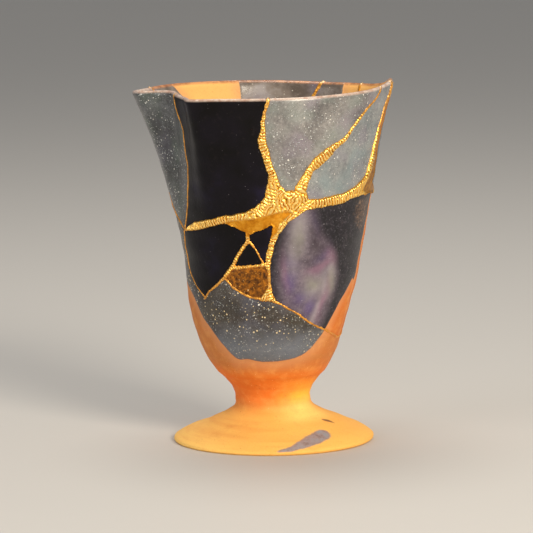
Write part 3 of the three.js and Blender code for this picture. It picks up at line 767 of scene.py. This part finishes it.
# ------------------------------------------------------------------ materials
class Nodes:
    def __init__(self, name):
        self.mat = bpy.data.materials.new(name)
        self.mat.use_nodes = True
        self.t = self.mat.node_tree
        self.t.nodes.clear()
        self.out = self.new("ShaderNodeOutputMaterial")
        self.b = self.new("ShaderNodeBsdfPrincipled")
        self.t.links.new(self.b.outputs[0], self.out.inputs[0])
        self.co = self.new("ShaderNodeTexCoord").outputs["Object"]

    def new(self, kind, **props):
        n_ = self.t.nodes.new(kind)
        for k, v in props.items():
            setattr(n_, k, v)
        return n_

    def link(self, a, b):
        self.t.links.new(a, b)

    def set(self, socket, value):
        if hasattr(value, "links") or isinstance(value, bpy.types.NodeSocket):
            self.link(value, socket)
        else:
            socket.default_value = value

    def attr(self, name):
        return self.new("ShaderNodeAttribute", attribute_name=name).outputs["Fac"]

    def math(self, op, a, b=0.0, c=0.0, clamp=False):
        n_ = self.new("ShaderNodeMath", operation=op, use_clamp=clamp)
        self.set(n_.inputs[0], a)
        self.set(n_.inputs[1], b)
        self.set(n_.inputs[2], c)
        return n_.outputs[0]

    def noise(self, per_mm, detail=3.0, rough=0.5, seed=0.0, distort=0.0, stretch=None):
        mp = self.new("ShaderNodeMapping")
        self.link(self.co, mp.inputs["Vector"])
        s = per_mm * 1000
        st = stretch or (1, 1, 1)
        mp.inputs["Scale"].default_value = (s * st[0], s * st[1], s * st[2])
        mp.inputs["Location"].default_value = (seed, seed * 1.7, seed * 0.6)
        n_ = self.new("ShaderNodeTexNoise")
        n_.inputs["Scale"].default_value = 1.0
        n_.inputs["Detail"].default_value = detail
        n_.inputs["Roughness"].default_value = rough
        n_.inputs["Distortion"].default_value = distort
        self.link(mp.outputs[0], n_.inputs["Vector"])
        return n_.outputs["Fac"]

    def dots(self, per_mm, size, seed=0.0, chance=0.5, soft=0.25):
        """Round specks: size is the radius as a share of a cell; chance is the share of cells with one."""
        mp = self.new("ShaderNodeMapping")
        self.link(self.co, mp.inputs["Vector"])
        s = per_mm * 1000
        mp.inputs["Scale"].default_value = (s, s, s)
        mp.inputs["Location"].default_value = (seed, seed * 1.3, seed * 0.7)
        v = self.new("ShaderNodeTexVoronoi")
        v.inputs["Scale"].default_value = 1.0
        v.inputs["Randomness"].default_value = 1.0
        self.link(mp.outputs[0], v.inputs["Vector"])
        sep = self.new("ShaderNodeSeparateColor")
        self.link(v.outputs["Color"], sep.inputs[0])
        radius = self.math("MULTIPLY_ADD", sep.outputs[1], size * 0.8, size * 0.5)
        on = self.math("LESS_THAN", sep.outputs[0], chance)
        gap = self.math("SUBTRACT", radius, v.outputs["Distance"])
        d = self.math("MULTIPLY", self.math("DIVIDE", gap, size * soft, clamp=True), on, clamp=True)
        wider = self.math("DIVIDE", self.math("ADD", gap, size * 0.9), size * 0.9, clamp=True)
        ring = self.math("MULTIPLY", self.math("MULTIPLY", wider, self.math("SUBTRACT", 1.0, d)), on, clamp=True)
        return d, sep.outputs[2], ring

    def ramp(self, fac, stops, mode="LINEAR"):
        n_ = self.new("ShaderNodeValToRGB")
        n_.color_ramp.interpolation = mode
        el = n_.color_ramp.elements
        while len(el) < len(stops):
            el.new(0.5)
        for e, (p, c) in zip(el, stops):
            e.position = p
            e.color = (*c, 1)
        self.set(n_.inputs[0], fac)
        return n_.outputs[0]

    def mix(self, fac, a, b, blend="MIX"):
        n_ = self.new("ShaderNodeMix", data_type="RGBA", blend_type=blend)
        self.set(n_.inputs[0], fac)
        for sock, v in ((n_.inputs[6], a), (n_.inputs[7], b)):
            self.set(sock, (*v, 1) if isinstance(v, tuple) and len(v) == 3 else v)
        return n_.outputs[2]

    def step(self, value, low, high):
        n_ = self.new("ShaderNodeMapRange", interpolation_type="SMOOTHSTEP")
        self.set(n_.inputs[0], value)
        n_.inputs[1].default_value = low
        n_.inputs[2].default_value = high
        return n_.outputs[0]

    def bump(self, height, strength, distance_mm, after=None):
        n_ = self.new("ShaderNodeBump")
        n_.inputs["Strength"].default_value = strength
        n_.inputs["Distance"].default_value = distance_mm * MM
        self.link(height, n_.inputs["Height"])
        if after is not None:
            self.link(after, n_.inputs["Normal"])
        return n_.outputs[0]


def srgb(r, g, b):
    return tuple(((c / 255) / 12.92 if c / 255 <= 0.04045 else ((c / 255 + 0.055) / 1.055) ** 2.4) for c in (r, g, b))


def clay(m, pale=0.0):
    """Bare terracotta, paler just under the glaze, with light and shade painted in: deeper orange round the stem and a
    darker bowl underside as painted shade, and a paler foot top, foot left and stem right as painted light.
    """
    slow = m.noise(0.045, 3, 0.55, 3)
    mid = m.noise(0.35, 4, 0.6, 8)
    fine = m.noise(2.2, 3, 0.6, 2)
    c = m.ramp(slow, [(0.3, srgb(208, 118, 38)), (0.5, srgb(220, 136, 50)), (0.7, srgb(230, 154, 66))])
    up = m.attr("up")
    stem = m.math("MULTIPLY", m.step(up, 9.5, 13.5), m.math("SUBTRACT", 1.0, m.step(up, 19.0, 25.0)))
    bowl = m.math("MULTIPLY", m.step(up, 18.0, 23.5), m.math("SUBTRACT", 1.0, m.step(up, 60.0, 70.0)))
    # painted shade: the underside of the bowl is darker where it is turned away from the light
    c = m.mix(m.math("MULTIPLY", bowl, 0.8), c, srgb(178, 104, 44))
    # painted shade: deeper orange round the stem, in the shadow of the bowl
    c = m.mix(m.math("MULTIPLY", stem, 0.85), c, srgb(226, 110, 4))
    foot = m.math("SUBTRACT", 1.0, m.step(up, 7.0, 11.5))
    # painted light: the top of the foot is paler where light falls on it
    c = m.mix(m.math("MULTIPLY", foot, 0.9), c, srgb(248, 192, 92))
    side = m.new("ShaderNodeSeparateXYZ")
    m.link(m.co, side.inputs[0])
    stem_right_light = m.math("MULTIPLY", m.step(side.outputs[0], -0.001, 0.009), m.math("SUBTRACT", 1.0, m.step(up, 12.0, 21.0)))
    # painted highlight: the right side of the stem is lit yellow
    c = m.mix(m.math("MULTIPLY", m.math("MULTIPLY", stem_right_light, stem), 0.95), c, srgb(255, 196, 62))
    front = m.math("SUBTRACT", 1.0, m.step(side.outputs[1], -0.008, 0.004))
    neck = m.math("MULTIPLY", m.step(up, 6.0, 8.5), m.math("SUBTRACT", 1.0, m.step(up, 9.5, 14.0)))
    # painted highlight: a pale yellow spot on the front right of the neck
    c = m.mix(m.math("MULTIPLY", m.math("MULTIPLY", m.math("MULTIPLY", stem_right_light, neck), front), 0.8), c, srgb(255, 222, 124))
    left = m.math("SUBTRACT", 1.0, m.step(side.outputs[0], -0.026, -0.004))
    # painted light: the left side of the foot is lightened
    c = m.mix(m.math("MULTIPLY", m.math("MULTIPLY", left, foot), 0.6), c, srgb(255, 212, 116))
    c = m.mix(abs(pale), c, srgb(244, 162, 96) if pale > 0 else srgb(232, 112, 22))
    c = m.mix(m.math("MULTIPLY", m.attr("inside"), 0.7), c, srgb(248, 198, 116))
    c = m.mix(m.math("MULTIPLY", m.step(mid, 0.4, 0.78), 0.3), c, srgb(248, 184, 98))
    c = m.mix(m.math("MULTIPLY", m.step(fine, 0.52, 0.8), 0.28), c, srgb(204, 96, 28))
    grit, _, _ = m.dots(1.1, 0.16, 4, 0.14)
    c = m.mix(m.math("MULTIPLY", grit, 0.5), c, srgb(150, 74, 26))
    ash, _, _ = m.dots(1.7, 0.18, 14, 0.14)
    c = m.mix(m.math("MULTIPLY", ash, 0.45), c, srgb(255, 206, 150))
    turned = m.noise(0.5, 3, 0.6, 51, 0.0, (0.06, 0.06, 1.0))
    c = m.mix(m.math("MULTIPLY", m.step(turned, 0.5, 0.72), 0.22), c, srgb(214, 104, 30))
    stain = m.step(m.noise(0.09, 4, 0.65, 61), 0.56, 0.74)
    c = m.mix(m.math("MULTIPLY", stain, 0.22), c, srgb(196, 98, 40))
    return c, fine


def speckled(m, dark, mid, light, tint_a, tint_b, amount=1.0, gold=0.0, seed=0.0):
    """Grey reduction glaze with pale specks, each with a darker ring, over cloudy tints."""
    cloud = m.noise(0.14, 4, 0.6, 1.5 + seed)
    fine = m.noise(1.3, 4, 0.7, 5.5 + seed)
    c = m.ramp(m.math("MULTIPLY_ADD", fine, 0.45, m.math("MULTIPLY", cloud, 0.55)),
               [(0.36, dark), (0.5, mid), (0.64, light)])
    t1 = m.step(m.noise(0.12, 2, 0.5, 9 + seed), 0.46, 0.68)
    t2 = m.step(m.noise(0.1, 2, 0.5, 19 + seed), 0.48, 0.7)
    c = m.mix(m.math("MULTIPLY", t1, 0.5), c, tint_a)
    c = m.mix(m.math("MULTIPLY", t2, 0.45), c, tint_b)
    dense = m.step(m.noise(0.17, 2, 0.5, 13 + seed), 0.34, 0.6)
    height = None
    for k, (cell, size, chance, weight, pale) in enumerate((
            (1.25, 0.27, 0.7, 0.95, srgb(206, 208, 204)), (2.0, 0.29, 0.72, 0.75, srgb(172, 178, 182)),
            (0.85, 0.19, 0.34, 1.0, srgb(246, 242, 232)), (1.6, 0.24, 0.4, 0.6, srgb(148, 158, 140)))):
        d, r, ring = m.dots(cell, size, 2 + seed + 5 * k, chance)
        w = m.math("MULTIPLY", m.math("MULTIPLY_ADD", r, 0.6, 0.4), m.math("MULTIPLY_ADD", dense, 0.75, 0.25))
        c = m.mix(m.math("MULTIPLY", m.math("MULTIPLY", ring, w), 0.5 * amount, clamp=True), c, dark)
        dw = m.math("MULTIPLY", d, w)
        c = m.mix(m.math("MULTIPLY", dw, weight * amount, clamp=True), c, pale)
        height = dw if height is None else m.math("ADD", height, dw)
    if gold:
        d4, r4, _ = m.dots(0.95, 0.22, 27 + seed, 0.62)
        c = m.mix(m.math("MULTIPLY", d4, gold, clamp=True), c, srgb(238, 214, 164))
    return c, height, fine


def black(m, seed=0.0):
    cloud = m.noise(0.07, 3, 0.55, seed)
    c = m.ramp(cloud, [(0.36, srgb(12, 10, 11)), (0.55, srgb(18, 15, 22)), (0.72, srgb(28, 24, 44))])
    up = m.math("MULTIPLY", m.step(m.noise(0.6, 4, 0.7, 5 + seed), 0.55, 0.75), 0.35)
    c = m.mix(up, c, srgb(40, 34, 36))
    d1, r1, _ = m.dots(1.3, 0.14, 3 + seed, 0.16)
    c = m.mix(m.math("MULTIPLY", d1, m.math("MULTIPLY", r1, 0.6)), c, srgb(112, 108, 112))
    return c


def finish_piece(m, glaze_colour, glaze_rough, bump_h=None, coat=0.0, inside=None, pale=0.0,
                 lip=((214, 194, 180), (190, 156, 138)), gloss=0.5):
    """Glaze over clay, divided by the piece's own edge distance; the lip is paler along its top, partly as glaze worn
    thin there and partly as a painted highlight along the rim.
    """
    clay_c, clay_f = clay(m, pale)
    wob = m.math("MULTIPLY", m.math("SUBTRACT", m.noise(1.3, 3, 0.6, 31), 0.5), 0.3)
    e = m.math("ADD", m.attr("edge"), wob)
    cover = m.step(e, -0.08, 0.14)
    halo = m.math("MULTIPLY", m.step(e, -4.5, 0.0), m.math("SUBTRACT", 1.0, cover))
    base = m.mix(m.math("MULTIPLY", halo, 0.5), clay_c, srgb(214, 152, 104))
    thin = m.math("SUBTRACT", 1.0, m.step(e, 0.05, 0.6))
    g = m.mix(m.math("MULTIPLY", thin, 0.4), glaze_colour, srgb(110, 84, 74))
    if inside is not None:
        g = m.mix(m.attr("inside"), g, inside)
    c = m.mix(cover, base, g)
    # partly wear, partly a painted highlight: the top of the lip is paler
    lip_wear_and_highlight = m.math("MULTIPLY", m.attr("lip"), m.math("MULTIPLY_ADD", m.noise(0.9, 3, 0.6, 77), 0.6, 0.55), clamp=True)
    lip_c = m.mix(m.step(m.noise(0.5, 3, .6, 81), .42, .62), srgb(*lip[0]), srgb(*lip[1]))
    c = m.mix(lip_wear_and_highlight, c, lip_c)
    m.link(c, m.b.inputs["Base Color"])
    r = m.math("MULTIPLY_ADD", cover, glaze_rough - 0.74, m.math("MULTIPLY_ADD", clay_f, 0.12, 0.68))
    m.link(r, m.b.inputs["Roughness"])
    h = m.math("MULTIPLY_ADD", m.noise(2.6, 4, 0.6, 44), 0.7, m.math("MULTIPLY", m.noise(0.7, 2, .5, 12), 1.0))
    if bump_h is not None:
        h = m.math("MULTIPLY_ADD", bump_h, 1.6, h)
    nb = m.bump(h, 0.5, 0.06)
    m.link(nb, m.b.inputs["Normal"])
    m.b.inputs["Specular IOR Level"].default_value = gloss
    if coat:
        m.link(m.math("MULTIPLY", cover, coat), m.b.inputs["Coat Weight"])
        m.b.inputs["Coat Roughness"].default_value = 0.18
    return m.mat


def inner_grey(m):
    c = m.ramp(m.noise(0.12, 3, 0.6, 21), [(0.35, srgb(84, 74, 66)), (0.5, srgb(118, 108, 100)),
                                           (0.65, srgb(148, 142, 140))])
    d, r, _ = m.dots(1.2, 0.2, 5, 0.45)
    c = m.mix(m.math("MULTIPLY", d, 0.6), c, srgb(196, 192, 180))
    sheen = m.math("MULTIPLY", m.step(m.noise(0.09, 2, .5, 91), .5, .7), 0.4)
    return m.mix(sheen, c, srgb(120, 110, 134))


def grey_material(name, dark, mid, light, ta, tb, rough=0.34, amount=1.0, gold=0.0, seed=0.0, **more):
    m = Nodes(name)
    c, s1, f = speckled(m, dark, mid, light, ta, tb, amount, gold, seed)
    return finish_piece(m, c, rough, bump_h=s1, coat=0.25, inside=inner_grey(m), **more)


def black_material(name, seed):
    m = Nodes(name)
    return finish_piece(m, black(m, seed), 0.3, inside=inner_grey(m), gloss=0.12)


def violet_material(name):
    m = Nodes(name)
    # dark glaze with a leaning band of painted reflection over it: silver painted highlights, and violet, rose and
    # green iridescence
    dark = m.ramp(m.noise(0.5, 4, 0.65, 7), [(0.36, srgb(16, 13, 18)), (0.55, srgb(26, 22, 30)), (0.7, srgb(44, 38, 44))])
    reflected_band = m.ramp(m.noise(0.6, 4, 0.7, 12), [(0.34, srgb(80, 68, 80)), (0.5, srgb(98, 86, 98)), (0.66, srgb(118, 106, 116))])
    cloudy = m.math("MULTIPLY_ADD", m.noise(0.25, 3, 0.6, 9, 0.5), 1.3, 0.4)
    for key, weight, col in (("violet", .75, (84, 66, 116)), ("silver_highlight", .8, (160, 152, 158)), ("green", .6, (128, 130, 106)),
                             ("rose", .6, (146, 102, 128)), ("shade", .8, (50, 40, 48))):
        reflected_band = m.mix(m.math("MULTIPLY", m.math("MULTIPLY", m.attr(key), cloudy), weight, clamp=True), reflected_band, srgb(*col))
    # painted reflection: the lit band is laid over the dark glaze where the sheen field is high
    body = m.mix(m.math("MULTIPLY", m.attr("sheen"), 0.92), dark, reflected_band)
    grain = m.step(m.noise(1.5, 4, 0.7, 29), 0.5, 0.75)
    body = m.mix(m.math("MULTIPLY", grain, 0.3), body, m.mix(0.5, body, srgb(170, 164, 176)))
    d, r, ring = m.dots(1.3, 0.15, 9, 0.3)
    body = m.mix(m.math("MULTIPLY", d, m.math("MULTIPLY", r, 0.7)), body, srgb(190, 188, 192))
    pa = m.step(m.math("ADD", m.attr("patch"), m.math("MULTIPLY", m.math("SUBTRACT", m.noise(0.8, 4, .7, 3), .5), 5.0)), -0.6, 1.6)
    fleck = m.ramp(m.noise(1.2, 4, 0.75, 63), [(0.4, srgb(40, 28, 22)), (0.52, srgb(84, 62, 50)), (0.64, srgb(150, 122, 96))])
    body = m.mix(m.math("MULTIPLY", pa, 0.75), body, fleck)
    return finish_piece(m, body, 0.32, coat=0.1, inside=inner_grey(m), pale=-0.35, gloss=0.35)


def brown_material(name):
    m = Nodes(name)
    c = m.ramp(m.noise(0.9, 4, 0.7, 3), [(0.35, srgb(58, 32, 6)), (0.5, srgb(116, 68, 10)), (0.66, srgb(170, 104, 20))])
    d1, r1, _ = m.dots(1.8, 0.24, 2, 0.6)
    c = m.mix(m.math("MULTIPLY", d1, m.math("MULTIPLY", r1, 0.9)), c, srgb(226, 160, 62))
    d2, r2, _ = m.dots(2.6, 0.22, 6, 0.5)
    c = m.mix(m.math("MULTIPLY", d2, 0.6), c, srgb(28, 18, 8))
    d3, r3, _ = m.dots(0.9, 0.16, 16, 0.3)
    c = m.mix(m.math("MULTIPLY", d3, 0.9), c, srgb(236, 200, 140))
    return finish_piece(m, c, 0.5, bump_h=d1, inside=inner_grey(m), gloss=0.2)


def foot_material(name):
    m = Nodes(name)
    c, s1, f = speckled(m, srgb(34, 29, 26), srgb(56, 49, 43), srgb(86, 79, 74), srgb(78, 80, 96),
                        srgb(62, 56, 38), 0.85, 0.95, 4.0)
    low = m.math("SUBTRACT", 1.0, m.step(m.math("ADD", m.attr("up"), m.math("MULTIPLY", m.noise(0.1, 2, .5, 6), 10.0)), 33.0, 42.0))
    c = m.mix(m.math("MULTIPLY", low, 0.65), c, m.mix(m.noise(0.8, 4, .7, 16), srgb(92, 98, 108), srgb(128, 134, 142)))
    mat = finish_piece(m, c, 0.36, bump_h=s1, coat=0.15, inside=inner_grey(m), pale=0.06)
    # grey-blue smear and a small dark mark on the foot
    base = m.b.inputs["Base Color"].links[0].from_socket
    wob = m.math("MULTIPLY", m.math("SUBTRACT", m.noise(0.45, 3, .6, 71), .5), 1.2)
    sm = m.step(m.math("ADD", m.attr("smear"), wob), -0.25, 0.7)
    sc = m.ramp(m.noise(0.45, 3, .65, 15), [(0.34, srgb(128, 114, 116)), (0.5, srgb(150, 140, 144)), (0.66, srgb(138, 146, 158))])
    rim = m.math("MULTIPLY", sm, m.math("SUBTRACT", 1.0, m.step(m.math("ADD", m.attr("smear"), wob), 0.3, 0.9)))
    c2 = m.mix(m.math("MULTIPLY", sm, 0.95), base, m.mix(m.math("MULTIPLY", rim, 0.35), sc, srgb(112, 94, 96)))
    sp = m.step(m.math("ADD", m.attr("spot"), m.math("MULTIPLY", wob, 0.25)), -0.3, 0.4)
    c2 = m.mix(m.math("MULTIPLY", sp, 0.85), c2, srgb(110, 74, 54))
    m.link(c2, m.b.inputs["Base Color"])
    r = m.b.inputs["Roughness"].links[0].from_socket
    m.link(m.math("MULTIPLY_ADD", sm, -0.45, r), m.b.inputs["Roughness"])
    return mat


def gold_material(name):
    m = Nodes(name)
    relief, pour, flat = m.attr("relief"), m.attr("pour"), m.attr("flat")
    n1 = m.noise(1.6, 4, 0.65, 3)
    # painted shade and highlight: the gold is darkest in the hollows between the ridges and brightest on their crests
    f = m.math("MULTIPLY_ADD", relief, 0.8, m.math("MULTIPLY", n1, 0.3))
    c = m.ramp(f, [(0.14, srgb(92, 50, 10)), (0.3, srgb(170, 106, 26)), (0.5, srgb(244, 176, 62)),
                   (0.84, srgb(255, 220, 134))])
    c = m.mix(m.math("MULTIPLY", m.attr("thin"), 0.5), c, srgb(232, 150, 52))
    dull = m.math("MULTIPLY", m.step(m.noise(0.7, 4, .7, 53), .4, .62), m.attr("thin"))
    c = m.mix(m.math("MULTIPLY", dull, 0.55), c, srgb(132, 80, 30))
    poured = m.ramp(m.noise(0.5, 4, .65, 23, 0.5), [(0.34, srgb(198, 122, 22)), (0.52, srgb(226, 150, 36)),
                                                    (0.7, srgb(246, 180, 64))])
    c = m.mix(pour, c, poured)
    brown = m.ramp(m.noise(0.7, 4, .65, 43), [(0.36, srgb(168, 108, 24)), (0.52, srgb(202, 138, 40)), (0.68, srgb(224, 162, 60))])
    c = m.mix(flat, c, brown)
    rubbed = m.step(m.noise(0.8, 4, .7, 33), .58, .76)
    c = m.mix(m.math("MULTIPLY", rubbed, 0.35), c, srgb(120, 66, 16))
    c = m.mix(m.math("MULTIPLY", m.attr("quiet"), 0.6), c, srgb(204, 124, 38))
    # paler gold along the top of the lip: partly wear, partly a painted highlight along the rim
    c = m.mix(m.math("MULTIPLY", m.attr("lip"), 0.8), c, srgb(206, 176, 140))
    m.link(c, m.b.inputs["Base Color"])
    metal = m.math("MULTIPLY_ADD", m.attr("thin"), -0.35, 0.92)
    m.link(m.math("MULTIPLY_ADD", m.attr("quiet"), -0.35, metal, clamp=True), m.b.inputs["Metallic"])
    r = m.math("MULTIPLY_ADD", m.noise(2.4, 3, .6, 5), 0.2, 0.3)
    r = m.math("MULTIPLY_ADD", relief, -0.06, r)
    m.link(r, m.b.inputs["Roughness"])
    h = m.math("MULTIPLY_ADD", m.noise(3.2, 4, .65, 8), 1.0, m.math("MULTIPLY", m.noise(8.0, 2, .5, 28), 0.35))
    m.link(m.bump(h, 0.35, 0.04), m.b.inputs["Normal"])
    return m.mat


def grey(name, dark, mid, light, ta, tb, **more):
    return grey_material(name, srgb(*dark), srgb(*mid), srgb(*light), srgb(*ta), srgb(*tb), **more)


BACK_LIP = ((196, 132, 80), (150, 92, 52))
MATERIALS = {
    "foot_and_lower_bowl": ("bare_terracotta", foot_material("terracotta_and_grey_glaze")),
    "spout_sherd": ("spout_grey_glaze", grey(
        "spout_glaze", (40, 40, 42), (68, 70, 72), (102, 104, 106), (80, 94, 84), (78, 74, 90), seed=3.0, amount=1.15)),
    "upper_black_sherd": ("upper_black_glaze", black_material("upper_black", 1.0)),
    "upper_grey_sherd": ("upper_grey_glaze", grey(
        "upper_grey", (84, 82, 82), (122, 119, 117), (152, 149, 146), (126, 136, 130), (138, 126, 142), amount=1.15, seed=11.0)),
    "right_grey_sherd": ("right_grey_glaze", grey(
        "right_grey", (90, 92, 96), (126, 129, 130), (152, 154, 152), (120, 138, 142), (136, 130, 142), amount=0.85, seed=23.0)),
    "iridescent_sherd": ("iridescent_glaze", violet_material("violet_glaze")),
    "lower_black_sherd": ("lower_black_glaze", black_material("lower_black", 5.0)),
    "small_black_sherd": ("small_black_glaze", black_material("small_black", 9.0)),
    "small_triangle_sherd": ("small_triangle_glaze", black_material("small_triangle", 14.0)),
    "brown_speckled_sherd": ("brown_speckled_glaze", brown_material("brown_speckle")),
    "back_right_sherd": ("back_right_glaze", grey(
        "back_right", (62, 66, 72), (86, 92, 98), (112, 118, 124), (88, 106, 112), (104, 100, 118), amount=0.7,
        seed=31.0, lip=BACK_LIP)),
    "back_sherd": ("back_terracotta", grey(
        "back_clay_and_glaze", (50, 50, 54), (78, 78, 82), (104, 106, 110), (84, 96, 102), (100, 92, 108), amount=0.7,
        seed=37.0, lip=BACK_LIP)),
    "back_left_sherd": ("back_left_glaze", grey(
        "back_left", (44, 44, 46), (72, 72, 76), (100, 102, 104), (80, 94, 86), (92, 86, 102), amount=0.8,
        seed=43.0, lip=BACK_LIP)),
}
for piece, (slot_name, material) in MATERIALS.items():
    ob = sherd_mesh(piece, material)
    print(piece, len(ob.data.polygons))
gold_mesh(gold_material("gold_lacquer"))

# ------------------------------------------------------------------ floor, light, camera
floor = bpy.data.meshes.new("floor")
floor.from_pydata([(-6, -6, 0), (6, -6, 0), (6, 6, 0), (-6, 6, 0)], [], [(0, 1, 2, 3)])
fo = bpy.data.objects.new("floor", floor)
bpy.context.scene.collection.objects.link(fo)
fm = bpy.data.materials.new("pale_floor")
fm.use_nodes = True
fm.node_tree.nodes["Principled BSDF"].inputs["Base Color"].default_value = (0.56, 0.55, 0.53, 1)
fm.node_tree.nodes["Principled BSDF"].inputs["Roughness"].default_value = 0.6
floor.materials.append(fm)
fo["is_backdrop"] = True


def area(name, where, at, size, power, colour):
    li = bpy.data.lights.new(name, "AREA")
    li.shape = "DISK"
    li.size = size
    li.energy = power
    li.color = colour
    ob = bpy.data.objects.new(name, li)
    ob.location = where
    ob.rotation_euler = (Vector(at) - Vector(where)).to_track_quat("-Z", "Y").to_euler()
    bpy.context.scene.collection.objects.link(ob)
    return ob


bpy.context.scene.view_settings.view_transform = "Standard"
MID = (0, 0, 0.055)
area("key", (0.46, -0.74, 0.44), MID, 0.34, 9.4, (1.0, 0.89, 0.74))
area("fill", (-0.82, -0.55, 0.30), MID, 0.6, 2.8, (1.0, 0.96, 0.92))
area("top", (-0.05, 0.22, 0.85), MID, 0.5, 3.4, (1.0, 0.93, 0.84))
world = bpy.data.worlds.new("studio")
bpy.context.scene.world = world
world.use_nodes = True
world.node_tree.nodes["Background"].inputs[0].default_value = (0.95, 0.93, 0.91, 1)
world.node_tree.nodes["Background"].inputs[1].default_value = 0.34

D, ZC, PITCH, F, CX, ROLL = 950.0, 173.88, 7.4563 * RAD, 3366.6, -1.2476, -0.0109
cp, sp, cr, sr = math.cos(PITCH), math.sin(PITCH), math.cos(ROLL), math.sin(ROLL)
fwd, up, right = Vector((0, cp, -sp)), Vector((0, sp, cp)), Vector((1, 0, 0))
r2, u2 = right * cr + up * sr, up * cr - right * sr
cam = bpy.data.cameras.new("camera")
cam.sensor_width = 36
cam.lens = F / 533 * 36
cam.clip_start = 0.05
cam.clip_end = 50
co = bpy.data.objects.new("camera", cam)
co.matrix_world = Matrix(((r2.x, u2.x, -fwd.x, CX * MM), (r2.y, u2.y, -fwd.y, -D * MM),
                          (r2.z, u2.z, -fwd.z, ZC * MM), (0, 0, 0, 1)))
bpy.context.scene.collection.objects.link(co)
bpy.context.scene.camera = co

box1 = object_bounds()
plain = lambda b: json.loads(json.dumps(b, default=lambda o: [float(x) for x in o]))
{"cad": plain(BOX0), "visual": plain(box1)}
